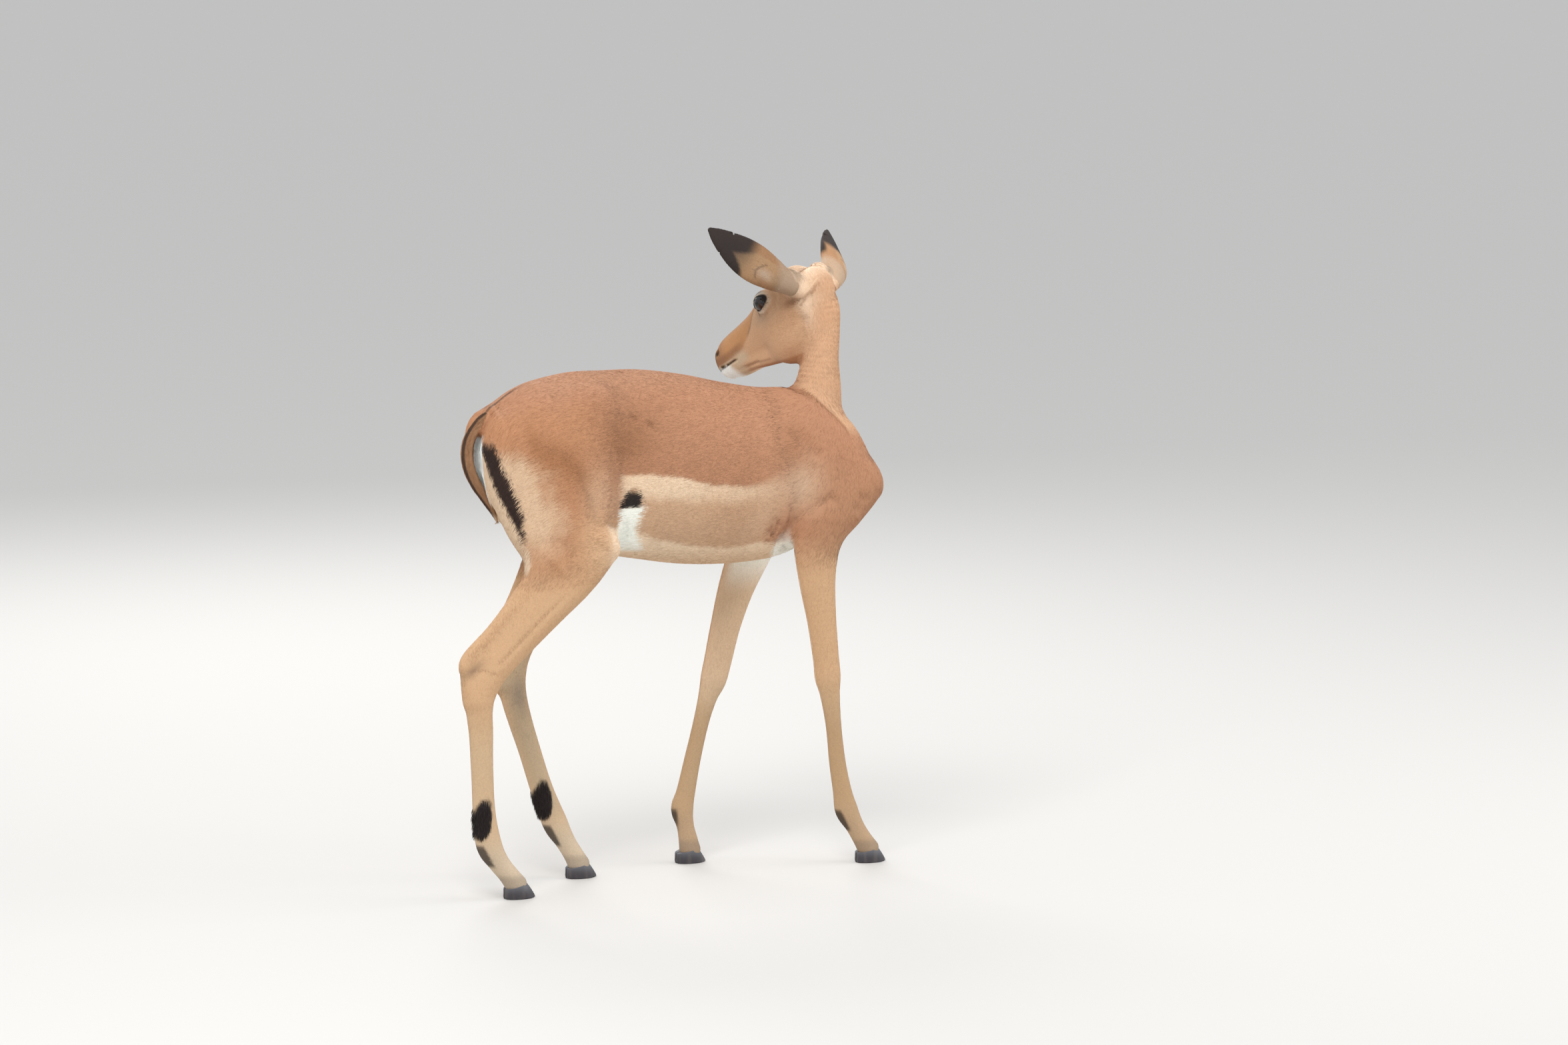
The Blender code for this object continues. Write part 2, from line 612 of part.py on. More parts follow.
def surface_net(body, lines, level=0.0):
    """Quads of the surface where the body's distance equals `level`."""
    counts = np.array([len(line) for line in lines])
    coarse, fine = 16, 4
    grid = [np.arange(-(-(n - 1) // coarse)) for n in counts]
    blocks = np.stack(np.meshgrid(*grid, indexing="ij"), axis=-1).reshape(-1, 3)
    blocks = blocks_near_surface(body, lines, blocks, coarse)
    inner = np.stack(np.meshgrid(*[np.arange(coarse // fine)] * 3, indexing="ij"), axis=-1).reshape(-1, 3)
    blocks = (blocks[:, None] * (coarse // fine) + inner).reshape(-1, 3)
    blocks = blocks[np.all(blocks * fine < counts - 1, axis=1)]
    blocks = blocks_near_surface(body, lines, blocks, fine)

    cells_in = np.stack(np.meshgrid(*[np.arange(fine)] * 3, indexing="ij"), axis=-1).reshape(-1, 3)
    cells = (blocks[:, None] * fine + cells_in).reshape(-1, 3)
    cells = cells[np.all(cells < counts - 1, axis=1)]
    strides = np.array([counts[1] * counts[2], counts[2], 1])
    corner_ids = (cells @ strides)[:, None] + CORNERS @ strides
    nodes, where = np.unique(corner_ids, return_inverse=True)
    where = where.reshape(corner_ids.shape)
    index = np.stack(np.unravel_index(nodes, counts), axis=1)
    places = np.stack([lines[a][index[:, a]] for a in range(3)], axis=1)
    values = fill_tangles(body.distance(places) - level, where)
    corner_values = values[where]
    mixed = (corner_values < 0).any(axis=1) & (corner_values >= 0).any(axis=1)
    cells, where, corner_values = cells[mixed], where[mixed], corner_values[mixed]

    total = np.zeros((len(cells), 3))
    number = np.zeros(len(cells))
    for a, b in CELL_EDGES:
        first, second = corner_values[:, a], corner_values[:, b]
        crossed = (first < 0) != (second < 0)
        t = first[crossed] / (first[crossed] - second[crossed])
        start, end = places[where[crossed, a]], places[where[crossed, b]]
        total[crossed] += start + (end - start) * t[:, None]
        number[crossed] += 1
    points = total / number[:, None]

    cell_ids = cells @ strides
    order = np.argsort(cell_ids)
    sorted_ids = cell_ids[order]
    quads = []
    for axis in range(3):
        second, third = (axis + 1) % 3, (axis + 2) % 3
        far_corner = 1 << (2 - axis)
        crossed = (corner_values[:, 0] < 0) != (corner_values[:, far_corner] < 0)
        base = cell_ids[crossed]
        around = [base, base - strides[second], base - strides[second] - strides[third],
                  base - strides[third]]
        found = np.stack([np.searchsorted(sorted_ids, ids) for ids in around], axis=1)
        found = order[np.minimum(found, len(order) - 1)]
        whole = np.all(cell_ids[found] == np.stack(around, axis=1), axis=1)
        inward = corner_values[crossed, 0] < 0
        found = np.where(inward[:, None], found, found[:, ::-1])
        quads.append(found[whole])
    return points, np.vstack(quads)


def settle(body, points, level=0.0, rounds=2, step=0.0005):
    """Moves points onto the surface along the slope of the distance."""
    for _ in range(rounds):
        here = body.distance(points)
        slope = np.stack([
            body.distance(points + step * np.eye(3)[axis]) - here for axis in range(3)], axis=1) / step
        length = np.maximum(np.einsum("ij,ij->i", slope, slope), 0.2)
        points = points - slope * np.clip((here - level) / length, -0.004, 0.004)[:, None]
    return points


def relax(points, quads):
    """Moves each point half way to the middle of its neighbours."""
    total = np.zeros_like(points)
    number = np.zeros(len(points))
    for a, b in ((0, 1), (1, 2), (2, 3), (3, 0)):
        for start, end in ((a, b), (b, a)):
            np.add.at(total, quads[:, start], points[quads[:, end]])
            np.add.at(number, quads[:, start], 1)
    return points * 0.5 + 0.5 * total / number[:, None]


def mesh_object(name, points, faces):
    mesh = bpy.data.meshes.new(name)
    mesh.from_pydata([tuple(p) for p in points], [], [tuple(f) for f in faces])
    made = bpy.data.objects.new(name, mesh)
    bpy.context.scene.collection.objects.link(made)
    return made


def with_modifiers(source, name):
    """New object as the modifiers leave the source; the source goes."""
    graph = bpy.context.evaluated_depsgraph_get()
    mesh = bpy.data.meshes.new_from_object(source.evaluated_get(graph))
    bpy.data.objects.remove(source)
    mesh.name = name
    made = bpy.data.objects.new(name, mesh)
    bpy.context.scene.collection.objects.link(made)
    return made


def body_object():
    body = whole_body()
    lines = [
        steps_between([(-0.46, 0.0050), (0.05, 0.0042), (0.10, 0.0022), (0.36, 0.0035), (0.40, 0)]),
        steps_between([(-0.13, 0.0045), (-0.02, 0.0024), (0.26, 0)]),
        steps_between([(0.00, 0.0050), (0.82, 0.0030), (0.96, 0.0022), (1.13, 0)]),
    ]
    points, quads = surface_net(body, lines)
    for _ in range(2):
        points = settle(body, relax(points, quads), rounds=1)
    points = settle(body, points)
    whole = mesh_object("body", points, quads)
    return thinned(whole, BODY_TRIANGLES)


def thinned(source, triangles):
    """Same surface with fewer faces, most of them where it bends."""
    thin = source.modifiers.new("thin", "DECIMATE")
    thin.ratio = triangles / (2 * len(source.data.polygons))
    return with_modifiers(source, source.name)


def small_body_object(name, body, spacing, triangles):
    """Mesh of a small volume on its own fine grid."""
    low = np.min([solid.low for solid in body.solids], axis=0)
    high = np.max([solid.high for solid in body.solids], axis=0)
    lines = [steps_between([(low[a], spacing), (high[a], 0)]) for a in range(3)]
    points, quads = surface_net(body, lines)
    points = settle(body, relax(points, quads))
    return thinned(mesh_object(name, points, quads), triangles)


def without(source, maker):
    """Source less the closed shape in the maker."""
    mesh = bpy.data.meshes.new("cutter")
    maker.to_mesh(mesh)
    maker.free()
    cutter = bpy.data.objects.new("cutter", mesh)
    cutter.hide_render = True
    cutter.display_type = "WIRE"
    bpy.context.scene.collection.objects.link(cutter)
    cut = source.modifiers.new("cut", "BOOLEAN")
    cut.operation = "DIFFERENCE"
    cut.solver = "EXACT"
    cut.object = cutter
    made = with_modifiers(source, source.name)
    bpy.data.objects.remove(cutter)
    return made


def without_block(source, place, away, width, deep):
    """Source less a box beyond a plane, which takes half the gap with it."""
    maker = bmesh.new()
    away = np.array(unit(away))
    slab(maker, np.array(place) + away * (deep - CUT_GAP) / 2, away, width, width, thickness=deep)
    return without(source, maker)


def ears_and_tail():
    """Ears and tail, each on its own grid and cut flat at its root."""
    for name, side in (("ear_left", LEFT), ("ear_right", RIGHT)):
        ear = small_body_object(name, Body([ear_form(side)]), 0.0014, EAR_TRIANGLES)
        place, way = ear_cut(side)
        place_piece(without_block(ear, place, -np.array(way), 0.12, 0.06))
    tail = small_body_object("tail", Body([Tube(TAIL)]), 0.0025, TAIL_TRIANGLES)
    place, way = TAIL_CUT
    place_piece(without_block(tail, place, way, 0.12, 0.06))


def place_piece(piece):
    """Puts a finished piece in the final frame and gives it its coat."""
    piece.data.transform(Matrix.Translation(CENTRE_SHIFT))
    piece.data.materials.append(coat_material(piece.name))


# ---------------------------------------------------------------- cuts between the pieces
def slab(maker, centre, normal, width, depth, thickness=CUT_GAP, heading=(1, 0, 0)):
    """Flat box whose short side runs along the normal."""
    up = Vector(unit(normal))
    ahead = Vector(unit(np.asarray(heading) - np.array(up) * np.dot(heading, up)))
    aside = up.cross(ahead)
    corners = []
    for a in (-0.5, 0.5):
        for b in (-0.5, 0.5):
            for c in (-0.5, 0.5):
                place = Vector(centre) + ahead * width * a + aside * depth * b + up * thickness * c
                corners.append(maker.verts.new(place))
    for face in ((0, 1, 3, 2), (4, 6, 7, 5), (0, 4, 5, 1), (2, 3, 7, 6), (0, 2, 6, 4), (1, 5, 7, 3)):
        maker.faces.new([corners[i] for i in face])


def ear_cut(side):
    way = head_direction(*EAR_WAY[side])
    return ear_root(side) + way * EAR_STUMP, way


LEG_CUTS = {
    # place, direction down the leg, size fore and aft, size across
    "right_fore": [
        ((0.2355, -0.066, 0.515), (0.00, 0, -1), 0.110, 0.080),
        ((0.2625, -0.055, 0.314), (0.10, 0, -1), 0.070, 0.060),
        ((0.3040, -0.0455, 0.088), (0.35, 0, -1), 0.075, 0.060),
    ],
    "left_fore": [
        ((0.1690, 0.078, 0.515), (-0.20, 0, -1), 0.110, 0.080),
        ((0.1110, 0.087, 0.314), (-0.30, 0, -1), 0.070, 0.060),
        ((0.0545, 0.090, 0.088), (0.00, 0, -1), 0.075, 0.060),
    ],
    "right_hind": [
        ((-0.2350, -0.068, 0.552), (0.00, 0, -1), 0.220, 0.110),
        ((-0.4020, -0.070, 0.345), (0.00, 0, -1), 0.090, 0.060),
        ((-0.3790, -0.067, 0.088), (0.40, 0, -1), 0.075, 0.060),
    ],
    "left_hind": [
        ((-0.1850, 0.070, 0.545), (0.00, 0, -1), 0.190, 0.100),
        ((-0.2860, 0.062, 0.345), (0.15, 0, -1), 0.090, 0.060),
        ((-0.1990, 0.055, 0.088), (0.40, 0, -1), 0.075, 0.060),
    ],
}


def coronet_frame(leg):
    """Point and upward direction of the sloping plane where hoof meets pastern."""
    x, y = FEET[leg]
    slope = (CORONET_FRONT - CORONET_HEEL) / HOOF_LENGTH
    middle = Vector((x, y, (CORONET_FRONT + CORONET_HEEL) / 2))
    return middle, Vector(unit((-slope, 0, 1)))


NECK_CUTS = [
    # centre, direction, width along the heading, depth, heading
    ((0.283, 0.014, 0.820), (0.28, 0.08, 1.00), 0.150, 0.170, (1, 0, 0)),
    ((0.283, 0.018, 0.893), (-0.31, 0.73, 0.61), 0.130, 0.150, CHEEK),
]
CRUMB = 0.015                           # anything smaller that a cut leaves behind is dropped
HOOF_BLOCK = (0.100, 0.070, 0.040)      # length, width, depth cleared for a hoof


def cut_body(body):
    """Body with every gap between its pieces cut."""
    for centre, normal, width, depth, heading in NECK_CUTS:
        maker = bmesh.new()
        slab(maker, centre, normal, width, depth, heading=heading)
        body = without(body, maker)
    for cuts in LEG_CUTS.values():
        for centre, down, length, width in cuts:
            maker = bmesh.new()
            slab(maker, centre, down, length, width)
            body = without(body, maker)
    for leg in FEET:
        middle, up = coronet_frame(leg)
        length, width, deep = HOOF_BLOCK
        maker = bmesh.new()
        slab(maker, middle - up * deep / 2, up, length, width, thickness=deep)
        body = without(body, maker)
    for side in (RIGHT, LEFT):
        body = without_block(body, *ear_cut(side), 0.064, 0.012)
        maker = bmesh.new()
        eyeball(maker, side, EYE_RADIUS + CUT_GAP)
        body = without(body, maker)
    place, up_tail = TAIL_CUT
    return without_block(body, place, -np.array(up_tail), 0.044, 0.014)


NODE_PLACES = {
    "trunk": (-0.03, 0.00, 0.69),
    "neck": (0.285, 0.02, 0.87),
    "head": (0.245, 0.10, 0.94),
    "right_fore_forearm": (0.243, -0.06, 0.42),
    "right_fore_cannon": (0.280, -0.05, 0.20),
    "right_fore_pastern": (0.325, -0.045, 0.05),
    "left_fore_forearm": (0.137, 0.083, 0.42),
    "left_fore_cannon": (0.080, 0.090, 0.20),
    "left_fore_pastern": (0.062, 0.090, 0.05),
    "right_hind_shank": (-0.310, -0.073, 0.46),
    "right_hind_cannon": (-0.395, -0.069, 0.22),
    "right_hind_pastern": (-0.358, -0.066, 0.055),
    "left_hind_shank": (-0.235, 0.070, 0.45),
    "left_hind_cannon": (-0.247, 0.057, 0.22),
    "left_hind_pastern": (-0.180, 0.054, 0.055),
}


def loose_pieces(mesh):
    """Connected pieces of a mesh as lists of faces."""
    number = np.arange(len(mesh.vertices))
    edges = np.array([edge.vertices[:] for edge in mesh.edges])
    while True:
        lowest = np.minimum(number[edges[:, 0]], number[edges[:, 1]])
        before = number.copy()
        np.minimum.at(number, edges[:, 0], lowest)
        np.minimum.at(number, edges[:, 1], lowest)
        number = number[number]
        if (number == before).all():
            break
    pieces = {}
    for face in mesh.polygons:
        pieces.setdefault(int(number[face.vertices[0]]), []).append(list(face.vertices))
    return list(pieces.values())


def part_the_body(body):
    """One object per piece of the cut body, named by the place it lies at."""
    body = cut_body(body)
    places = np.array([vertex.co[:] for vertex in body.data.vertices])
    for faces in loose_pieces(body.data):
        used = sorted({i for face in faces for i in face})
        renumber = {old: new for new, old in enumerate(used)}
        if np.ptp(places[used], axis=0).max() < CRUMB:
            continue
        middle = places[used].mean(axis=0)
        name = min(NODE_PLACES, key=lambda n: np.linalg.norm(middle - NODE_PLACES[n]))
        place_piece(mesh_object(name, places[used], [[renumber[i] for i in face] for face in faces]))
    bpy.data.objects.remove(body)


# ---------------------------------------------------------------- eyes and hooves
def eyeball(maker, side, radius):
    """Ball whose pole looks out of the head."""
    ahead, aside, above = EYE_PLACE
    centre = Vector(on_head(ahead, side * aside, above))
    outward = Vector(head_direction(0.30, side, 0.05))
    turn = outward.to_track_quat("Z", "Y").to_matrix().to_4x4()
    turn.translation = centre
    bmesh.ops.create_uvsphere(maker, u_segments=16, v_segments=10, radius=radius, matrix=turn)


def eyes():
    for name, side in (("eye_left", LEFT), ("eye_right", RIGHT)):
        maker = bmesh.new()
        eyeball(maker, side, EYE_RADIUS)
        bmesh.ops.translate(maker, verts=maker.verts, vec=CENTRE_SHIFT)
        finish(maker, name, material("eye_dark", (0.012, 0.009, 0.008), 0.08))


def claw_outline(angle, half_length, width, inner_side):
    """Half-moon outline: flat towards the other claw, curved outside, pointed at the toe."""
    along = math.cos(angle)
    across = max(0.0, math.sin(angle))
    pointed = 1 - 0.55 * max(0.0, along) ** 3
    return half_length * along, inner_side * (CLAW_GAP / 2 + width * across ** 0.8 * pointed)


def claw(leg, name, inner_side):
    """One claw lofted from the sole to the sloping coronet."""
    x, y = FEET[leg]
    middle, up = coronet_frame(leg)
    middle = middle - up * CUT_GAP
    maker = bmesh.new()
    rings = []
    # share of the height, length and width compared with the sole, step back
    for height, length, width, back in ((0.0, 0.95, 0.90, 0.0), (0.08, 1.0, 1.0, 0.0),
                                        (0.55, 0.86, 0.98, 0.004), (1.0, 0.70, 0.95, 0.008)):
        ring = []
        for step in range(14):
            angle = 2 * math.pi * step / 14
            ahead, aside = claw_outline(angle, HOOF_LENGTH / 2 * length, CLAW_WIDTH * width, inner_side)
            px = x + ahead - back
            top = middle.z - (px - middle.x) * up.x / up.z
            ring.append(maker.verts.new((px, y + aside, height * top)))
        rings.append(ring)
    for low, high in zip(rings, rings[1:]):
        for i in range(14):
            j = (i + 1) % 14
            maker.faces.new((low[i], low[j], high[j], high[i]))
    maker.faces.new(rings[0][::-1])
    maker.faces.new(rings[-1])
    bmesh.ops.translate(maker, verts=maker.verts, vec=CENTRE_SHIFT)
    finish(maker, name, material("hoof_horn", (0.045, 0.040, 0.040), 0.45))


def hooves():
    for leg, (_, y) in FEET.items():
        outer = RIGHT if y < 0 else LEFT
        claw(leg, leg + "_claw_outer", outer)
        claw(leg, leg + "_claw_inner", -outer)


def finish(maker, name, slot):
    bmesh.ops.recalc_face_normals(maker, faces=maker.faces)
    mesh = bpy.data.meshes.new(name)
    maker.to_mesh(mesh)
    maker.free()
    mesh.materials.append(slot)
    made = bpy.data.objects.new(name, mesh)
    bpy.context.scene.collection.objects.link(made)
    return made


# ---------------------------------------------------------------- materials
def material(name, colour, roughness):
    if name in bpy.data.materials:
        return bpy.data.materials[name]
    made = bpy.data.materials.new(name)
    made.use_nodes = True
    shader = made.node_tree.nodes["Principled BSDF"]
    shader.inputs["Base Color"].default_value = (*colour, 1)
    shader.inputs["Roughness"].default_value = roughness
    shader.inputs["Metallic"].default_value = 0.0
    return made


def coat_material(node):
    if node.startswith("ear"):
        return material("coat_ear", (0.30, 0.19, 0.12), 0.8)
    if "cannon" in node or "pastern" in node:
        return material("coat_leg", (0.62, 0.43, 0.28), 0.8)
    if node == "tail":
        return material("coat_tail", (0.28, 0.16, 0.09), 0.8)
    return material("coat_fawn", (0.50, 0.27, 0.15), 0.8)


def main():
    for old in list(bpy.data.objects):
        bpy.data.objects.remove(old)
    part_the_body(body_object())
    ears_and_tail()
    eyes()
    hooves()


main()
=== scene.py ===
"""Impala ewe, life size: skin, coat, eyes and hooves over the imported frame.

Metres. +X is the way the body faces, +Y the animal's left, +Z up, and the floor is z = 0.
The skin is the same smooth volume as the solids, drawn in by the depth of the coat. The coat
is made of short flat tufts that follow the lie of the hair. Skin and coat take their markings
from one function of the place on the animal.
"""

import json
import math

import bmesh
import bpy
import numpy as np
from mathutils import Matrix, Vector


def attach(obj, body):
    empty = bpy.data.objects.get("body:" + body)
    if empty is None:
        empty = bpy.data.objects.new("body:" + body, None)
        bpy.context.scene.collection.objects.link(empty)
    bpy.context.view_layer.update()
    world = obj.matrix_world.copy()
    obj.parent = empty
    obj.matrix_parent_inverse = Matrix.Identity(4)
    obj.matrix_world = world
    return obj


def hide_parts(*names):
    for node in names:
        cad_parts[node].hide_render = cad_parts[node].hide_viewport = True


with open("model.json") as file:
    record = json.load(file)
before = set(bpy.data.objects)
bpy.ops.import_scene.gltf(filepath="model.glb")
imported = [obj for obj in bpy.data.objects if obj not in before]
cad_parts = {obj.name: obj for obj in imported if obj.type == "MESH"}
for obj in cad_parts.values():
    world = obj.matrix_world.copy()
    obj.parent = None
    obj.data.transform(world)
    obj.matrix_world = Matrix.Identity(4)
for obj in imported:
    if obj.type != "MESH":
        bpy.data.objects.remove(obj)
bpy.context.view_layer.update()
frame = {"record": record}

# ---------------------------------------------------------------- driving sizes
CENTRE_SHIFT = (0.0190, -0.0642, 0.0)  # brings the middle of the footprint box to the origin

HEAD_HEADING = math.radians(114)      # where the face points, turned from +X to the left
HEAD_PITCH = math.radians(29)         # nose down
HEAD_ROLL = math.radians(4)           # left side down
EYE_MIDDLE = np.array([0.248, 0.109, 0.964])
EYE_RADIUS = 0.0155
EYE_PLACE = (0.0035, 0.0378, 0.0016)  # ahead, aside and above the middle between the eyes
EAR_LENGTH = 0.172
EAR_WALL = 0.0045                     # thickness of the ear with its fur
EAR_GRID = 0.00135                    # cell size the thin ears are built on
TAIL_GRID = 0.0025
EAR_STUMP = 0.024                     # length of the ear's root that stays with the head

HOOF_LENGTH = 0.055
CLAW_WIDTH = 0.0175
CLAW_GAP = 0.0016
CORONET_FRONT = 0.030                 # height of the hoof's upper edge at the toe
CORONET_HEEL = 0.017

BODY_COAT = 0.0020                    # how far the coat's tips stand over the skin
FACE_COAT = 0.0009
LEG_COAT = 0.0012
EAR_COAT = 0.0008
TAIL_COAT = 0.0020
LID = 0.0018                          # thickness of the eyelids

RIGHT, LEFT = -1.0, 1.0
FEET = {
    "right_hind": (-0.326, -0.065),
    "left_hind": (-0.157, 0.052),
    "right_fore": (0.349, -0.044),
    "left_fore": (0.069, 0.090),
}


# ---------------------------------------------------------------- smooth solids
def unit(vector):
    vector = np.asarray(vector, dtype=float)
    return vector / np.linalg.norm(vector)


def dot(first, second):
    """Row by row product of two lists of vectors."""
    return np.einsum("ij,ij->i", first, second)


def spline(rows, steps):
    """Catmull-Rom curve through rows of numbers."""
    rows = np.asarray(rows, dtype=float)
    padded = np.vstack([2 * rows[0] - rows[1], rows, 2 * rows[-1] - rows[-2]])
    curve = []
    for i in range(len(rows) - 1):
        before, start, end, after = padded[i:i + 4]
        for t in np.arange(steps) / steps:
            slope = end - before
            bend = 2 * before - 5 * start + 4 * end - after
            twist = 3 * start - before - 3 * end + after
            curve.append(start + 0.5 * (slope * t + bend * t * t + twist * t ** 3))
    curve.append(rows[-1])
    return np.array(curve)


class Tube:
    """Oval tube. Each row is x, y, z, half width, depth in front, depth behind."""

    def __init__(self, rows, front=(1, 0, 0), blend=0.012, steps=5, cap=1.0):
        rows = np.asarray(rows, dtype=float)
        fronts = np.asarray(front, dtype=float)
        if fronts.ndim == 1:
            fronts = np.tile(fronts, (len(rows), 1))
        dense = spline(np.hstack([rows, fronts]), steps)
        self.axis = dense[:, :3]
        self.sizes = np.maximum(dense[:, 3:6], 0.001)
        along = np.gradient(self.axis, axis=0)
        along /= np.linalg.norm(along, axis=1)[:, None]
        ahead = dense[:, 6:9]
        ahead = ahead - along * np.sum(ahead * along, axis=1)[:, None]
        self.ahead = ahead / np.linalg.norm(ahead, axis=1)[:, None]
        self.along = along
        self.blend = blend
        self.cap = cap
        reach = self.sizes.max() + blend + 0.012
        self.low = self.axis.min(axis=0) - reach
        self.high = self.axis.max(axis=0) + reach

    def distance(self, points):
        best = np.full(len(points), 1e9)
        place = np.zeros(len(points))
        for i in range(len(self.axis) - 1):
            start = self.axis[i]
            span = self.axis[i + 1] - start
            offset = points - start
            t = np.clip(offset @ span / (span @ span), 0, 1)
            gap = offset - t[:, None] * span
            far = dot(gap, gap)
            nearer = far < best
            best = np.where(nearer, far, best)
            place = np.where(nearer, i + t, place)
        whole = np.minimum(place.astype(int), len(self.axis) - 2)
        part = (place - whole)[:, None]

        def between(values):
            return values[whole] * (1 - part) + values[whole + 1] * part

        offset = points - between(self.axis)
        sizes = between(self.sizes)
        along = between(self.along)
        ahead = between(self.ahead)
        side = np.cross(along, ahead)
        across = dot(offset, side)
        fore = dot(offset, ahead)
        end = dot(offset, along)
        inner = (place > 0) & (place < len(self.axis) - 1)
        reach = np.sqrt(across ** 2 + fore ** 2) + 1e-9
        stretch = np.where(inner, np.sqrt(reach ** 2 + end ** 2) / reach, 1.0)
        across = across * stretch
        fore = fore * stretch
        end = np.where(inner, 0.0, end)
        wide = sizes[:, 0]
        deep = np.where(fore > 0, sizes[:, 1], sizes[:, 2])
        cap = self.cap * np.minimum(wide, np.minimum(sizes[:, 1], sizes[:, 2]))
        return oval_distance((across, fore, end), (wide, deep, cap))


class Ball:
    """Oval ball with half sizes along three directions."""

    def __init__(self, centre, sizes, forward=(1, 0, 0), up=(0, 0, 1), blend=0.02):
        self.centre = np.asarray(centre, dtype=float)
        self.sizes = sizes
        forward = unit(forward)
        side = unit(np.cross(up, forward))
        self.turn = np.array([forward, side, np.cross(forward, side)]).T
        self.blend = blend
        reach = max(sizes) + blend + 0.012
        self.low = self.centre - reach
        self.high = self.centre + reach

    def distance(self, points):
        local = (points - self.centre) @ self.turn
        return oval_distance(local.T, self.sizes)


def oval_distance(parts, sizes):
    near = np.sqrt(sum((p / s) ** 2 for p, s in zip(parts, sizes))) + 1e-9
    slope = np.sqrt(sum((p / s ** 2) ** 2 for p, s in zip(parts, sizes))) + 1e-9
    return near * (near - 1) / slope


def melt(first, second, blend):
    """Smaller of two distances, rounded where they meet."""
    overlap = np.maximum(blend - np.abs(first - second), 0) / blend
    return np.minimum(first, second) - overlap * overlap * blend / 4


FAR = 0.08


class Body:
    """Solids that melt together, then hollows that are carved away."""

    def __init__(self, solids, hollows=()):
        self.solids = solids
        self.hollows = hollows

    def distance(self, points):
        total = np.full(len(points), FAR)
        for solid in self.solids:
            near = self.within(points, solid)
            if near.any():
                total[near] = melt(total[near], solid.distance(points[near]), solid.blend)
        for hollow in self.hollows:
            near = self.within(points, hollow)
            if near.any():
                total[near] = -melt(-total[near], hollow.distance(points[near]), hollow.blend)
        return total

    @staticmethod
    def within(points, solid):
        return np.all((points > solid.low) & (points < solid.high), axis=1)


class Carved:
    """A solid with hollows of its own."""

    def __init__(self, solid, hollows):
        self.solid = solid
        self.hollows = hollows
        self.low, self.high, self.blend = solid.low, solid.high, solid.blend

    def distance(self, points):
        total = self.solid.distance(points)
        for hollow in self.hollows:
            total = -melt(-total, hollow.distance(points), hollow.blend)
        return total


def side_of(name):
    """Side of the animal that a leg or an ear is on."""
    return RIGHT if "right" in name else LEFT


def mirrored(rows, side):
    """Rows written for the right side, on the side asked for."""
    rows = np.asarray(rows, dtype=float).copy()
    rows[:, 1] = side * np.abs(rows[:, 1])
    return rows


# ---------------------------------------------------------------- trunk, neck and tail
def trunk_forms():
    """Barrel through x, half width, height of the back and height of the belly."""
    barrel = [
        (-0.345, 0.048, 0.826, 0.660),
        (-0.310, 0.068, 0.850, 0.620),
        (-0.270, 0.082, 0.865, 0.590),
        (-0.210, 0.087, 0.875, 0.573),
        (-0.150, 0.092, 0.875, 0.563),
        (-0.080, 0.100, 0.873, 0.550),
        (0.000, 0.106, 0.861, 0.536),
        (0.070, 0.106, 0.845, 0.530),
        (0.140, 0.098, 0.832, 0.530),
        (0.200, 0.085, 0.827, 0.537),
        (0.260, 0.070, 0.812, 0.562),
        (0.310, 0.052, 0.770, 0.592),
        (0.338, 0.032, 0.723, 0.618),
    ]
    rows = []
    for x, wide, back, belly in barrel:
        middle = 0.705 - 0.06 * x
        rows.append((x, 0, middle, wide, back - middle, middle - belly))
    forms = [Tube(rows, front=(0, 0, 1), blend=0.02, cap=0.5)]
    for side in (RIGHT, LEFT):
        forms += [
            Ball((-0.262, side * 0.046, 0.760), (0.085, 0.040, 0.070), blend=0.05),
            Ball((-0.190, side * 0.058, 0.825), (0.036, 0.018, 0.024), blend=0.04),
            Ball((-0.333, side * 0.045, 0.777), (0.028, 0.020, 0.027), blend=0.035),
            Ball((0.235, side * 0.048, 0.715), (0.052, 0.038, 0.100), (1, 0, 0.42), blend=0.04),
            Ball((0.315, side * 0.054, 0.664), (0.035, 0.030, 0.040), blend=0.04),
            Ball((0.290, side * 0.038, 0.715), (0.042, 0.036, 0.062), (1, 0, 0.4), blend=0.04),
        ]
    forms.append(Ball((0.307, 0, 0.640), (0.042, 0.045, 0.052), blend=0.025))
    return forms


def neck_forms():
    """Neck that rises steeply and twists from the chest's heading to the head's."""
    rows = [
        (0.225, 0.000, 0.690, 0.060, 0.066, 0.070),
        (0.258, 0.005, 0.760, 0.050, 0.054, 0.058),
        (0.276, 0.014, 0.820, 0.041, 0.048, 0.048),
        (0.284, 0.021, 0.870, 0.0335, 0.040, 0.041),
        (0.289, 0.026, 0.915, 0.0315, 0.038, 0.038),
        (0.288, 0.030, 0.955, 0.0325, 0.041, 0.038),
        (0.280, 0.042, 0.990, 0.0310, 0.038, 0.034),
    ]
    turns = [math.radians(a) for a in (0, 15, 42, 70, 92, 108, 114)]
    fronts = [(math.cos(a), math.sin(a), 0) for a in turns]
    return [Tube(rows, fronts, blend=0.02)]


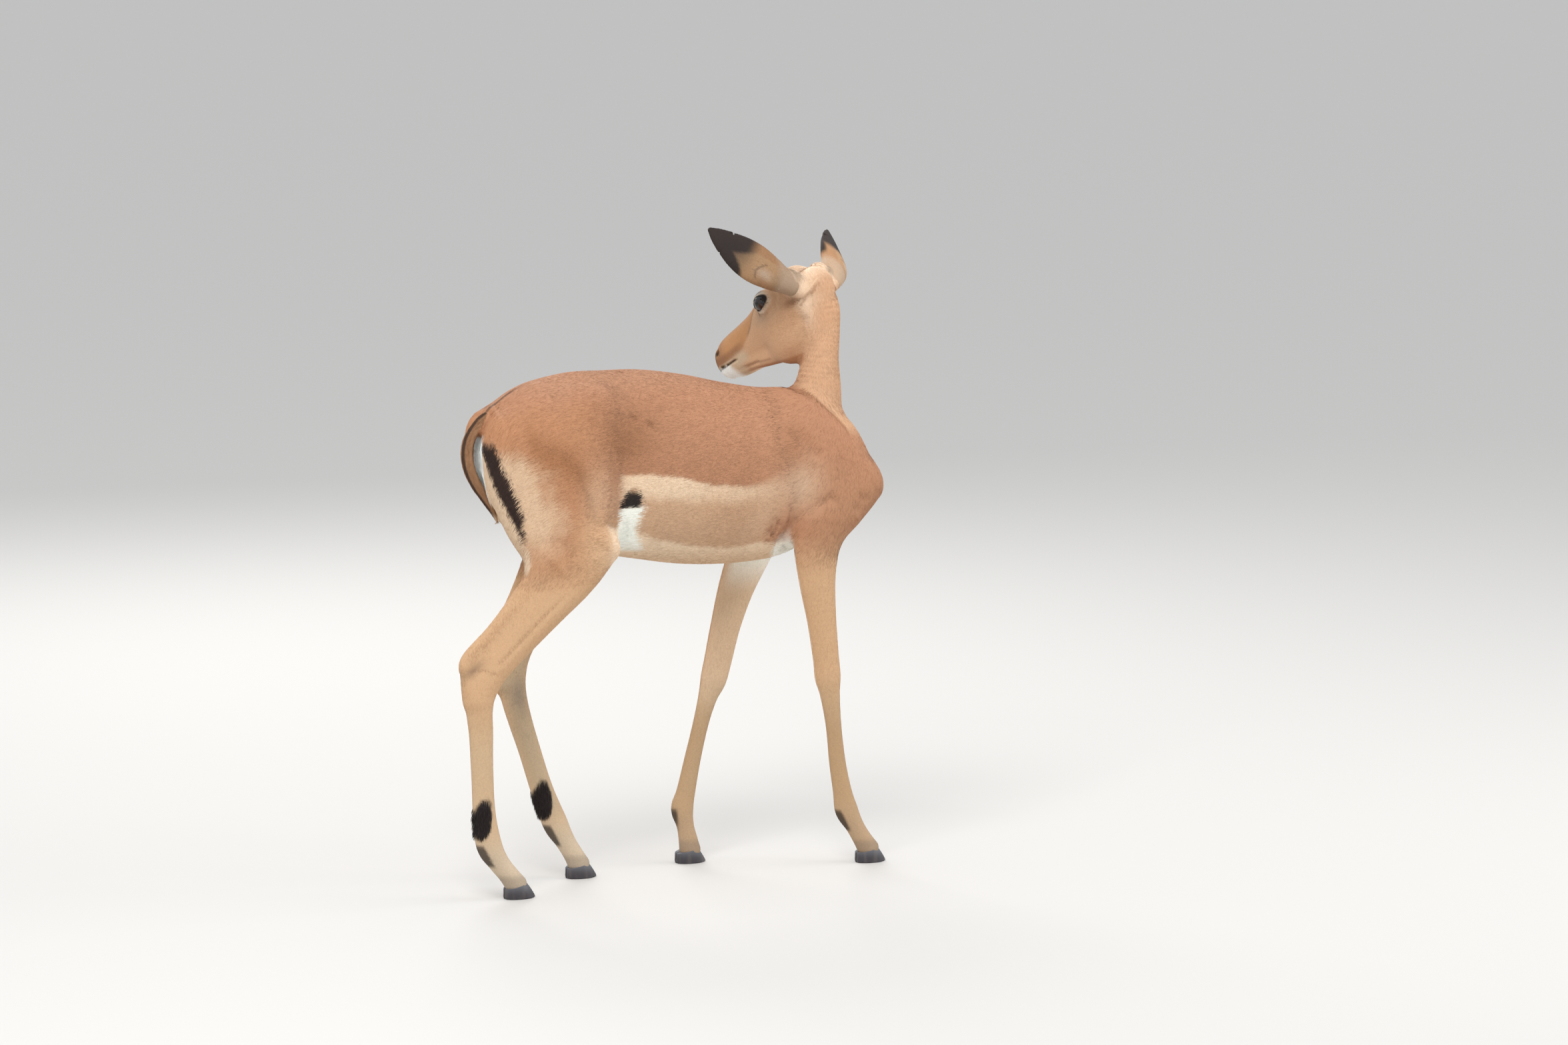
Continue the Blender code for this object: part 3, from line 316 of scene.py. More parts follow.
TAIL = [
    (-0.335, 0.0, 0.812, 0.0160, 0.0140, 0.0120),
    (-0.362, 0.0, 0.798, 0.0160, 0.0120, 0.0100),
    (-0.382, 0.0, 0.773, 0.0180, 0.0090, 0.0090),
    (-0.388, 0.0, 0.747, 0.0200, 0.0090, 0.0090),
    (-0.384, 0.0, 0.720, 0.0210, 0.0090, 0.0090),
    (-0.372, 0.0, 0.694, 0.0200, 0.0090, 0.0090),
    (-0.358, 0.0, 0.672, 0.0160, 0.0080, 0.0080),
    (-0.343, 0.0, 0.648, 0.0100, 0.0060, 0.0060),
    (-0.334, 0.0, 0.630, 0.0050, 0.0040, 0.0040),
]
TAIL_LINE = [(row[2], row[0]) for row in TAIL]
TAIL_STUB_END = (-0.374, 0.0, 0.783, 0.0172, 0.0104, 0.0094)
TAIL_CLEARANCE = 0.0030


def tail_groove():
    """Hollow that keeps the hanging tail clear of the rump."""
    rows = [(x, y, z, *(size + TAIL_CLEARANCE for size in sizes)) for x, y, z, *sizes in TAIL[2:]]
    return Tube(rows, blend=0.004, cap=0.3)


# ---------------------------------------------------------------- legs
def fore_leg_forms(side, rows, elbow):
    shoulder = (0.328, side * 0.058, 0.662)
    upper = [
        (*shoulder, 0.030, 0.036, 0.036),
        ((shoulder[0] + elbow[0]) / 2, side * 0.066, 0.622, 0.033, 0.040, 0.046),
        (*elbow, 0.032, 0.042, 0.046),
    ]
    return [
        Tube(upper, blend=0.025),
        Ball((elbow[0] + 0.005, side * 0.064, 0.640), (0.046, 0.030, 0.060), blend=0.025),
        Tube(mirrored(rows, side), blend=0.014),
    ]


RIGHT_FORE = [
    (0.240, 0.066, 0.610, 0.0350, 0.0450, 0.0480),
    (0.234, 0.065, 0.560, 0.0300, 0.0430, 0.0440),
    (0.236, 0.063, 0.500, 0.0260, 0.0340, 0.0350),
    (0.246, 0.060, 0.430, 0.0220, 0.0270, 0.0275),
    (0.2555, 0.057, 0.365, 0.0200, 0.0240, 0.0245),
    (0.260, 0.055, 0.330, 0.0205, 0.0240, 0.0240),
    (0.265, 0.054, 0.298, 0.0165, 0.0185, 0.0185),
    (0.2735, 0.051, 0.245, 0.0135, 0.0145, 0.0150),
    (0.2825, 0.048, 0.180, 0.0135, 0.0155, 0.0160),
    (0.2925, 0.0465, 0.130, 0.0145, 0.0175, 0.0180),
    (0.3015, 0.0455, 0.095, 0.0165, 0.0210, 0.0220),
    (0.3180, 0.0450, 0.065, 0.0155, 0.0170, 0.0175),
    (0.3320, 0.0445, 0.042, 0.0165, 0.0175, 0.0175),
    (0.3440, 0.0440, 0.022, 0.0180, 0.0210, 0.0190),
]
LEFT_FORE = [
    (0.205, 0.070, 0.610, 0.0350, 0.0450, 0.0480),
    (0.181, 0.075, 0.545, 0.0300, 0.0420, 0.0430),
    (0.153, 0.080, 0.475, 0.0260, 0.0340, 0.0340),
    (0.134, 0.083, 0.410, 0.0220, 0.0280, 0.0285),
    (0.1205, 0.086, 0.350, 0.0200, 0.0260, 0.0260),
    (0.1115, 0.087, 0.315, 0.0205, 0.0245, 0.0240),
    (0.1010, 0.088, 0.285, 0.0165, 0.0180, 0.0175),
    (0.0885, 0.089, 0.240, 0.0135, 0.0148, 0.0150),
    (0.0735, 0.090, 0.180, 0.0135, 0.0155, 0.0160),
    (0.0610, 0.090, 0.125, 0.0145, 0.0175, 0.0185),
    (0.0540, 0.090, 0.095, 0.0165, 0.0205, 0.0220),
    (0.0590, 0.090, 0.066, 0.0155, 0.0160, 0.0165),
    (0.0640, 0.090, 0.042, 0.0165, 0.0175, 0.0175),
    (0.0670, 0.090, 0.022, 0.0180, 0.0210, 0.0190),
]


def hind_leg_forms(side, thigh, shank, tendon, ham):
    return [
        Tube(mirrored(thigh, side), blend=0.03),
        Tube(mirrored(ham, side), blend=0.03),
        Tube(mirrored(shank, side), blend=0.014),
        Tube(mirrored(tendon, side), blend=0.025),
    ]


RIGHT_HIND = {
    "thigh": [
        (-0.280, 0.048, 0.755, 0.0440, 0.0800, 0.0700),
        (-0.258, 0.056, 0.690, 0.0440, 0.0900, 0.0800),
        (-0.236, 0.063, 0.625, 0.0410, 0.0880, 0.0700),
        (-0.218, 0.069, 0.575, 0.0350, 0.0740, 0.0600),
    ],
    "ham": [
        (-0.330, 0.036, 0.750, 0.0260, 0.0450, 0.0370),
        (-0.328, 0.043, 0.690, 0.0290, 0.0480, 0.0370),
        (-0.308, 0.054, 0.630, 0.0300, 0.0480, 0.0370),
        (-0.284, 0.065, 0.575, 0.0270, 0.0400, 0.0290),
    ],
    "shank": [
        (-0.180, 0.080, 0.590, 0.0300, 0.0380, 0.0400),
        (-0.222, 0.078, 0.537, 0.0305, 0.0350, 0.0500),
        (-0.275, 0.076, 0.485, 0.0270, 0.0300, 0.0450),
        (-0.328, 0.073, 0.432, 0.0205, 0.0260, 0.0330),
        (-0.370, 0.071, 0.393, 0.0190, 0.0270, 0.0260),
        (-0.394, 0.070, 0.362, 0.0195, 0.0290, 0.0270),
        (-0.400, 0.070, 0.328, 0.0185, 0.0250, 0.0240),
        (-0.397, 0.069, 0.285, 0.0160, 0.0225, 0.0220),
        (-0.395, 0.069, 0.220, 0.0150, 0.0205, 0.0205),
        (-0.391, 0.068, 0.150, 0.0155, 0.0205, 0.0215),
        (-0.382, 0.067, 0.096, 0.0185, 0.0225, 0.0240),
        (-0.364, 0.066, 0.064, 0.0165, 0.0185, 0.0195),
        (-0.347, 0.0655, 0.042, 0.0175, 0.0180, 0.0180),
        (-0.333, 0.065, 0.022, 0.0180, 0.0210, 0.0190),
    ],
    "tendon": [
        (-0.270, 0.074, 0.565, 0.0260, 0.0300, 0.0300),
        (-0.325, 0.073, 0.510, 0.0150, 0.0300, 0.0175),
        (-0.375, 0.072, 0.459, 0.0110, 0.0320, 0.0115),
        (-0.420, 0.0705, 0.411, 0.0115, 0.0340, 0.0140),
        (-0.424, 0.070, 0.385, 0.0110, 0.0240, 0.0100),
        (-0.414, 0.070, 0.345, 0.0110, 0.0120, 0.0100),
    ],
}
LEFT_HIND = {
    "thigh": [
        (-0.280, 0.048, 0.755, 0.0440, 0.0800, 0.0700),
        (-0.240, 0.056, 0.700, 0.0440, 0.0850, 0.0850),
        (-0.203, 0.063, 0.650, 0.0410, 0.0800, 0.0750),
        (-0.172, 0.069, 0.605, 0.0350, 0.0660, 0.0620),
    ],
    "ham": [
        (-0.330, 0.036, 0.750, 0.0260, 0.0450, 0.0370),
        (-0.310, 0.043, 0.700, 0.0290, 0.0480, 0.0370),
        (-0.277, 0.054, 0.650, 0.0300, 0.0480, 0.0370),
        (-0.238, 0.065, 0.595, 0.0270, 0.0400, 0.0290),
    ],
    "shank": [
        (-0.128, 0.080, 0.612, 0.0300, 0.0360, 0.0400),
        (-0.165, 0.078, 0.550, 0.0305, 0.0350, 0.0500),
        (-0.204, 0.075, 0.490, 0.0270, 0.0300, 0.0450),
        (-0.243, 0.070, 0.435, 0.0205, 0.0260, 0.0330),
        (-0.270, 0.066, 0.393, 0.0190, 0.0270, 0.0270),
        (-0.281, 0.063, 0.360, 0.0195, 0.0280, 0.0280),
        (-0.279, 0.061, 0.326, 0.0185, 0.0250, 0.0240),
        (-0.269, 0.059, 0.285, 0.0160, 0.0225, 0.0220),
        (-0.250, 0.057, 0.225, 0.0150, 0.0205, 0.0205),
        (-0.227, 0.056, 0.155, 0.0155, 0.0205, 0.0215),
        (-0.204, 0.055, 0.098, 0.0185, 0.0225, 0.0235),
        (-0.186, 0.054, 0.066, 0.0165, 0.0180, 0.0190),
        (-0.172, 0.053, 0.042, 0.0175, 0.0180, 0.0180),
        (-0.162, 0.052, 0.022, 0.0180, 0.0210, 0.0190),
    ],
    "tendon": [
        (-0.208, 0.074, 0.595, 0.0260, 0.0300, 0.0280),
        (-0.244, 0.072, 0.535, 0.0150, 0.0280, 0.0160),
        (-0.281, 0.068, 0.470, 0.0110, 0.0340, 0.0115),
        (-0.315, 0.064, 0.412, 0.0115, 0.0360, 0.0140),
        (-0.317, 0.063, 0.385, 0.0110, 0.0240, 0.0100),
        (-0.303, 0.062, 0.345, 0.0110, 0.0120, 0.0100),
    ],
}


# ---------------------------------------------------------------- head and ears
def head_axes():
    """Ahead, left and up of the head, as unit vectors."""
    ahead = np.array([math.cos(HEAD_HEADING), math.sin(HEAD_HEADING), 0])
    left = np.array([-ahead[1], ahead[0], 0])
    up = np.array([0, 0, 1.0])
    nose = ahead * math.cos(HEAD_PITCH) - up * math.sin(HEAD_PITCH)
    crown = ahead * math.sin(HEAD_PITCH) + up * math.cos(HEAD_PITCH)
    tilted_left = left * math.cos(HEAD_ROLL) - crown * math.sin(HEAD_ROLL)
    tilted_crown = crown * math.cos(HEAD_ROLL) + left * math.sin(HEAD_ROLL)
    return nose, tilted_left, tilted_crown


NOSE, CHEEK, CROWN = head_axes()


def on_head(ahead, aside, above):
    return EYE_MIDDLE + ahead * NOSE + aside * CHEEK + above * CROWN


def head_direction(ahead, aside, above):
    return unit(ahead * NOSE + aside * CHEEK + above * CROWN)


def head_ball(place, sizes, forward=(1, 0, 0), up=(0, 0, 1), blend=0.01):
    return Ball(on_head(*place), sizes, head_direction(*forward), head_direction(*up), blend)


def head_forms():
    """Skull and face through distance ahead of the eyes, half width, top and bottom."""
    profile = [
        (-0.092, 0.0270, 0.018, -0.042),
        (-0.068, 0.0380, 0.038, -0.060),
        (-0.035, 0.0415, 0.037, -0.073),
        (0.000, 0.0385, 0.027, -0.084),
        (0.030, 0.0325, 0.017, -0.092),
        (0.060, 0.0270, 0.006, -0.091),
        (0.090, 0.0240, 0.000, -0.089),
        (0.118, 0.0230, -0.004, -0.088),
        (0.142, 0.0220, -0.009, -0.085),
        (0.158, 0.0190, -0.017, -0.079),
    ]
    rows = []
    for ahead, wide, top, bottom in profile:
        middle = -0.027 - 0.16 * ahead
        rows.append((*on_head(ahead, 0, middle), wide, top - middle, middle - bottom))
    forms = [Tube(rows, CROWN, blend=0.012)]
    for side in (RIGHT, LEFT):
        forms += [
            head_ball((0.002, side * 0.032, 0.002), (0.026, 0.0155, 0.022), blend=0.012),
            head_ball((-0.004, side * 0.022, -0.078), (0.046, 0.016, 0.040), (1, 0, 0.25), blend=0.016),
            head_ball((0.045, side * 0.014, -0.085), (0.060, 0.010, 0.014), (1, 0, 0.18), blend=0.012),
            head_ball((-0.072, side * 0.040, 0.004), (0.022, 0.018, 0.026), blend=0.012),
        ]
    return forms


EAR_ROOTS = {LEFT: (-0.078, 0.050, -0.004), RIGHT: (-0.083, -0.053, -0.013)}
EAR_WAY = {LEFT: (0.24, 0.51, 0.82), RIGHT: (0.33, -0.71, 0.60)}
EAR_OUTER = {LEFT: (0, 1, -1), RIGHT: (0, -1, -1)}
EAR_BOW = 0.006
EAR_OPENING = {LEFT: (1, -0.60, 0), RIGHT: (1, 0.30, 0)}


def ear_root(side):
    return np.array(on_head(*EAR_ROOTS[side]))


def ear_axes(side):
    """Direction along an ear and direction that its opening faces."""
    way = head_direction(*EAR_WAY[side])
    facing = head_direction(*EAR_OPENING[side])
    return way, unit(facing - way * (facing @ way))


def ear_middle(side, share):
    """Point on the middle of an ear, which bows towards its outer edge."""
    way = head_direction(*EAR_WAY[side])
    outer = head_direction(*EAR_OUTER[side])
    outer = unit(outer - way * (outer @ way))
    return ear_root(side) + way * EAR_LENGTH * share + outer * EAR_BOW * math.sin(math.pi * share)


EAR_SHAPE = [  # place along the ear, half width, depth of the back, height of the rim
    (0.00, 0.0170, 0.0160, 0.016),
    (0.12, 0.0235, 0.0195, 0.018),
    (0.28, 0.0310, 0.0200, 0.010),
    (0.45, 0.0358, 0.0170, 0.004),
    (0.62, 0.0335, 0.0125, 0.002),
    (0.78, 0.0255, 0.0090, 0.001),
    (0.92, 0.0150, 0.0060, 0.001),
    (1.00, 0.0060, 0.0040, 0.001),
]


def ear_form(side):
    """Cupped leaf, hollowed out and open at its mouth."""
    _, facing = ear_axes(side)
    leaf, cup, mouth = [], [], []
    for t, wide, deep, rim in EAR_SHAPE:
        centre = ear_middle(side, t)
        leaf.append((*centre, wide, 0.020 + 0.010 * t, deep))
        cup.append((*centre, wide - EAR_WALL, 0.034, deep - EAR_WALL))
        mouth.append((*(centre + facing * (rim + 0.05)), 0.30, 0.05, 0.05))
    hollows = [
        Tube(cup[2:-2], facing, blend=0.004, cap=0.6),
        Tube(mouth[2:] + [[2 * b - a for a, b in zip(mouth[-2], mouth[-1])]], facing, blend=0.002, cap=0.2),
    ]
    return Carved(Tube(leaf, facing, blend=0.012), hollows)


def ear_stump(side):
    """Start of the ear, which stays with the head."""
    facing = head_direction(*EAR_OPENING[side])
    shape = ((-0.14, 0.0080, 0.0080), (0.0, 0.0170, 0.0160), (0.12, 0.0235, 0.0195), (0.16, 0.0255, 0.0200))
    rows = [(*ear_middle(side, t), wide, min(0.020, wide), deep) for t, wide, deep in shape]
    return Tube(rows, facing, blend=0.014, cap=0.2)


def whole_body():
    solids = trunk_forms() + neck_forms() + head_forms()
    solids += hind_leg_forms(RIGHT, **RIGHT_HIND) + hind_leg_forms(LEFT, **LEFT_HIND)
    solids += fore_leg_forms(RIGHT, RIGHT_FORE, (0.240, RIGHT * 0.066, 0.585))
    solids += fore_leg_forms(LEFT, LEFT_FORE, (0.205, LEFT * 0.070, 0.590))
    solids += [ear_stump(side) for side in (RIGHT, LEFT)]
    solids.append(Tube(TAIL[:2] + [TAIL_STUB_END], blend=0.006, cap=0.3))
    return Body(solids, [tail_groove()])


# ---------------------------------------------------------------- surface of the volume
def steps_between(stops):
    """Grid lines from (start, spacing) stops; the last stop is the end."""
    lines = [stops[0][0]]
    for (start, spacing), (end, _) in zip(stops, stops[1:]):
        count = max(1, round((end - start) / spacing))
        lines += list(start + (end - start) * np.arange(1, count + 1) / count)
    return np.array(lines)


def blocks_near_surface(body, lines, blocks, size, reach=1.6, slack=0.008):
    """Blocks of `size` cells whose middle is close enough to the surface."""
    corners = []
    for axis in range(3):
        low = lines[axis][np.minimum(blocks[:, axis] * size, len(lines[axis]) - 1)]
        high = lines[axis][np.minimum((blocks[:, axis] + 1) * size, len(lines[axis]) - 1)]
        corners.append((low, high))
    middle = np.stack([(low + high) / 2 for low, high in corners], axis=1)
    radius = np.sqrt(sum((high - low) ** 2 for low, high in corners)) / 2
    return blocks[np.abs(body.distance(middle)) < radius * reach + slack]


CORNERS = np.array([(i, j, k) for i in (0, 1) for j in (0, 1) for k in (0, 1)])
CELL_EDGES = [(a, b) for a in range(8) for b in range(a + 1, 8)
              if np.abs(CORNERS[a] - CORNERS[b]).sum() == 1]


def joined(members):
    """Whether the corners of a cell in `members` hang together along its edges."""
    found = set(list(members)[:1])
    for _ in range(8):
        for a, b in CELL_EDGES:
            if a in members and b in members and (a in found or b in found):
                found |= {a, b}
    return found == set(members)


def chequered(inside):
    """Whether some side of a cell has its corners in and out by turns."""
    for axis in range(3):
        for end in (0, 1):
            side = [c for c in range(8) if CORNERS[c, axis] == end]
            first, second, third, fourth = (corner in inside for corner in side)
            if first == fourth and second == third and first != second:
                return True
    return False


def tangled_patterns():
    """Corner patterns where one cell would hold two surfaces."""
    tangled = np.zeros(256, dtype=bool)
    for code in range(1, 255):
        inside = {corner for corner in range(8) if code >> corner & 1}
        whole = joined(inside) and joined(set(range(8)) - inside)
        tangled[code] = chequered(inside) or not whole
    return tangled


JUST_INSIDE = -1e-5


def fill_tangles(values, where, rounds=12):
    """Fills cells that would hold two surfaces, so that the skin stays one sheet."""
    tangled = tangled_patterns()
    for _ in range(rounds):
        code = ((values[where] < 0) << np.arange(8)).sum(axis=1)
        bad = where[tangled[code]]
        if len(bad) == 0:
            break
        values[bad.ravel()] = np.minimum(values[bad.ravel()], JUST_INSIDE)
    return values


def every_place(counts):
    """Every triple of whole numbers below the counts."""
    return np.stack(np.meshgrid(*[np.arange(n) for n in counts], indexing="ij"), axis=-1).reshape(-1, 3)


COARSE_BLOCK, FINE_BLOCK = 16, 4      # cells along a block in the two searches for the surface


def cells_near_surface(body, lines, counts):
    """Cells of the grid near the surface, looked for in coarse blocks and then in fine ones."""
    blocks = every_place([-(-(n - 1) // COARSE_BLOCK) for n in counts])
    blocks = blocks_near_surface(body, lines, blocks, COARSE_BLOCK)
    share = COARSE_BLOCK // FINE_BLOCK
    blocks = (blocks[:, None] * share + every_place([share] * 3)).reshape(-1, 3)
    blocks = blocks[np.all(blocks * FINE_BLOCK < counts - 1, axis=1)]
    blocks = blocks_near_surface(body, lines, blocks, FINE_BLOCK)
    cells = (blocks[:, None] * FINE_BLOCK + every_place([FINE_BLOCK] * 3)).reshape(-1, 3)
    return cells[np.all(cells < counts - 1, axis=1)]


def crossing_points(places, where, corner_values):
    """Middle of the places where the surface crosses the edges of each cell."""
    total = np.zeros((len(where), 3))
    number = np.zeros(len(where))
    for a, b in CELL_EDGES:
        first, second = corner_values[:, a], corner_values[:, b]
        crossed = (first < 0) != (second < 0)
        t = first[crossed] / (first[crossed] - second[crossed])
        start, end = places[where[crossed, a]], places[where[crossed, b]]
        total[crossed] += start + (end - start) * t[:, None]
        number[crossed] += 1
    return total / number[:, None]


def quads_between(cell_ids, corner_values, strides):
    """Quads that join the points of the four cells around each crossed edge."""
    order = np.argsort(cell_ids)
    sorted_ids = cell_ids[order]
    quads = []
    for axis in range(3):
        second, third = (axis + 1) % 3, (axis + 2) % 3
        far_corner = 1 << (2 - axis)
        crossed = (corner_values[:, 0] < 0) != (corner_values[:, far_corner] < 0)
        base = cell_ids[crossed]
        around = [base, base - strides[second], base - strides[second] - strides[third],
                  base - strides[third]]
        found = np.stack([np.searchsorted(sorted_ids, ids) for ids in around], axis=1)
        found = order[np.minimum(found, len(order) - 1)]
        whole = np.all(cell_ids[found] == np.stack(around, axis=1), axis=1)
        inward = corner_values[crossed, 0] < 0
        found = np.where(inward[:, None], found, found[:, ::-1])
        quads.append(found[whole])
    return np.vstack(quads)


def surface_net(body, lines, level=0.0):
    """Points and quads of the surface where the body's distance equals `level`."""
    counts = np.array([len(line) for line in lines])
    cells = cells_near_surface(body, lines, counts)
    strides = np.array([counts[1] * counts[2], counts[2], 1])
    corner_ids = (cells @ strides)[:, None] + CORNERS @ strides
    nodes, where = np.unique(corner_ids, return_inverse=True)
    where = where.reshape(corner_ids.shape)
    index = np.stack(np.unravel_index(nodes, counts), axis=1)
    places = np.stack([lines[a][index[:, a]] for a in range(3)], axis=1)
    values = fill_tangles(body.distance(places) - level, where)
    corner_values = values[where]
    mixed = (corner_values < 0).any(axis=1) & (corner_values >= 0).any(axis=1)
    cells, where, corner_values = cells[mixed], where[mixed], corner_values[mixed]
    points = crossing_points(places, where, corner_values)
    return points, quads_between(cells @ strides, corner_values, strides)


def settle(body, points, level=0.0, rounds=2, step=0.0005):
    """Moves points onto the surface along the slope of the distance."""
    for _ in range(rounds):
        here = body.distance(points)
        slope = np.stack([
            body.distance(points + step * np.eye(3)[axis]) - here for axis in range(3)], axis=1) / step
        length = np.maximum(dot(slope, slope), 0.2)
        points = points - slope * np.clip((here - level) / length, -0.004, 0.004)[:, None]
    return points


def relax(points, quads):
    """Moves each point half way to the middle of its neighbours."""
    total = np.zeros_like(points)
    number = np.zeros(len(points))
    for a, b in ((0, 1), (1, 2), (2, 3), (3, 0)):
        for start, end in ((a, b), (b, a)):
            np.add.at(total, quads[:, start], points[quads[:, end]])
            np.add.at(number, quads[:, start], 1)
    return points * 0.5 + 0.5 * total / number[:, None]


# ---------------------------------------------------------------- hoof shape
def coronet_frame(leg):
    """Point and upward direction of the sloping plane where hoof meets pastern."""
    x, y = FEET[leg]
    slope = (CORONET_FRONT - CORONET_HEEL) / HOOF_LENGTH
    middle = Vector((x, y, (CORONET_FRONT + CORONET_HEEL) / 2))
    return middle, Vector(unit((-slope, 0, 1)))


TOE_TAPER = 0.55     # share of a claw's width that is lost at the toe
CLAW_CURVE = 0.8     # below 1 the outer side is fuller than an oval's


def claw_outline(angle, half_length, width, inner_side):
    """Half-moon outline: flat towards the other claw, curved outside, pointed at the toe."""
    along = math.cos(angle)
    across = max(0.0, math.sin(angle))
    pointed = 1 - TOE_TAPER * max(0.0, along) ** 3
    return half_length * along, inner_side * (CLAW_GAP / 2 + width * across ** CLAW_CURVE * pointed)


# ---------------------------------------------------------------- places on the animal
def ramp(value, low, high):
    """0 below low, 1 above high, smooth between."""
    t = np.clip((value - low) / (high - low), 0, 1)
    return t * t * (3 - 2 * t)


def fall(value, low, high):
    """1 below low, 0 above high, smooth between."""
    return 1 - ramp(value, low, high)


def bell(gap, width):
    """1 where the gap is 0, fading to both sides."""
    return np.exp(-(gap / width) ** 2)


def hill(value, low, high, soft):
    """1 between low and high, fading to 0 over `soft` outside."""
    return ramp(value, low - soft, low) * fall(value, high, high + soft)


def along_path(value, path):
    """Second number of a path of pairs, at the given first number."""
    path = np.asarray(path, dtype=float)
    order = np.argsort(path[:, 0])
    return np.interp(value, path[order, 0], path[order, 1])


def head_place(points):
    """Ahead, aside and above the middle between the eyes."""
    offset = points - EYE_MIDDLE
    return offset @ NOSE, offset @ CHEEK, offset @ CROWN


def ear_place(points, side):
    """Share of the ear's length, place across, and place towards its opening."""
    way, facing = ear_axes(side)
    offset = points - ear_root(side)
    return offset @ way / EAR_LENGTH, offset @ np.cross(way, facing), offset @ facing


def leg_line(leg):
    """Middle line of a leg through its rows, as height and place pairs."""
    rows = {"right_fore": RIGHT_FORE, "left_fore": LEFT_FORE,
            "right_hind": RIGHT_HIND["shank"], "left_hind": LEFT_HIND["shank"]}[leg]
    rows = mirrored(rows, side_of(leg))
    return rows[:, :3]


LEG_LINES = {leg: leg_line(leg) for leg in FEET}


def leg_offset(points, leg):
    """Place ahead of and aside from the middle of a leg at the same height."""
    line = LEG_LINES[leg]
    order = np.argsort(line[:, 2])
    x = np.interp(points[:, 2], line[order, 2], line[order, 0])
    y = np.interp(points[:, 2], line[order, 2], line[order, 1])
    return points[:, 0] - x, points[:, 1] - y


def head_share(points):
    """1 on the head, 0 on the neck and body."""
    ahead, aside, above = head_place(points)
    return (ramp(ahead + 0.6 * above, -0.135, -0.085) * hill(aside, -0.100, 0.100, 0.01)
            * ramp(above, -0.135, -0.120) * ramp(points[:, 1], -0.04, 0.0) * ramp(points[:, 2], 0.80, 0.82))


def coat_depth(points):
    """Height of the coat's tips over the skin."""
    face = head_share(points) * ramp(head_place(points)[0], -0.05, 0.03)
    leg = fall(points[:, 2], 0.36, 0.56)
    return BODY_COAT - (BODY_COAT - FACE_COAT) * face - (BODY_COAT - LEG_COAT) * leg


# ---------------------------------------------------------------- skin
GROOVES = [  # depth, half width, path in x and z
    (0.0030, 0.013, [(0.191, 0.752), (0.220, 0.722)]),
    (0.0016, 0.028, [(0.150, 0.700), (0.156, 0.660), (0.152, 0.607)]),
    (0.0035, 0.006, [(0.154, 0.607), (0.148, 0.585)]),
    (0.0030, 0.010, [(0.171, 0.583), (0.199, 0.615), (0.245, 0.645)]),
    (0.0025, 0.012, [(0.306, 0.640), (0.298, 0.626)]),
    (0.0022, 0.016, [(-0.146, 0.740), (-0.148, 0.670), (-0.160, 0.620)]),
    (0.0025, 0.020, [(-0.300, 0.765), (-0.255, 0.735), (-0.215, 0.700), (-0.195, 0.630)]),
]


def path_gap(first, second, path):
    """Distance from a path of straight stretches, in two measures."""
    best = np.full(len(first), 1.0)
    for (a, b), (c, d) in zip(path, path[1:]):
        span = np.array([c - a, d - b])
        t = np.clip(((first - a) * span[0] + (second - b) * span[1]) / (span @ span), 0, 1)
        best = np.minimum(best, np.hypot(first - a - t * span[0], second - b - t * span[1]))
    return best


def groove_depth(points):
    """How far the grooves between muscles and tendons sink into the skin."""
    x, y, z = points.T
    side = ramp(np.abs(y), 0.030, 0.055) * (z > 0.55)
    total = sum(depth * side * bell(path_gap(x, z, path), width) for depth, width, path in GROOVES)
    for leg in ("right_hind", "left_hind"):
        fore, aside = leg_offset(points, leg)
        near = (np.abs(aside) < 0.06) * hill(z, 0.420, 0.490, 0.030)
        total = total + 0.0018 * near * bell(fore + 0.010, 0.005)
    return total


def skin_depth(points):
    return coat_depth(points) + groove_depth(points)


class Skin:
    """The body's volume less the depth of its coat."""

    def __init__(self, body, depth):
        self.body = body
        self.depth = depth
        self.solids = body.solids

    def distance(self, points):
        return self.body.distance(points) + self.depth(points)


def even_depth(depth):
    return lambda points: depth


def eye_middle(side):
    ahead, aside, above = EYE_PLACE
    return np.array(on_head(ahead, side * aside, above))


def eye_axes(side):
    """Outward, towards the nose and up, at an eye."""
    outward = head_direction(0.30, side, 0.05)
    level = NOSE * 0.95 - CROWN * 0.30
    fore = unit(level - outward * (level @ outward))
    up = np.cross(outward, fore) * side
    if up @ CROWN < 0:
        up = -up
    return outward, fore, up


def eye_gap(points, side):
    """Distance from the middle of the eye opening, and how far outward; 1 is the lid's edge."""
    outward, fore, up = eye_axes(side)
    offset = points - eye_middle(side)
    gap = np.hypot((offset @ fore + 0.0015) / 0.0150, (offset @ up) / 0.0108)
    return gap, offset @ outward


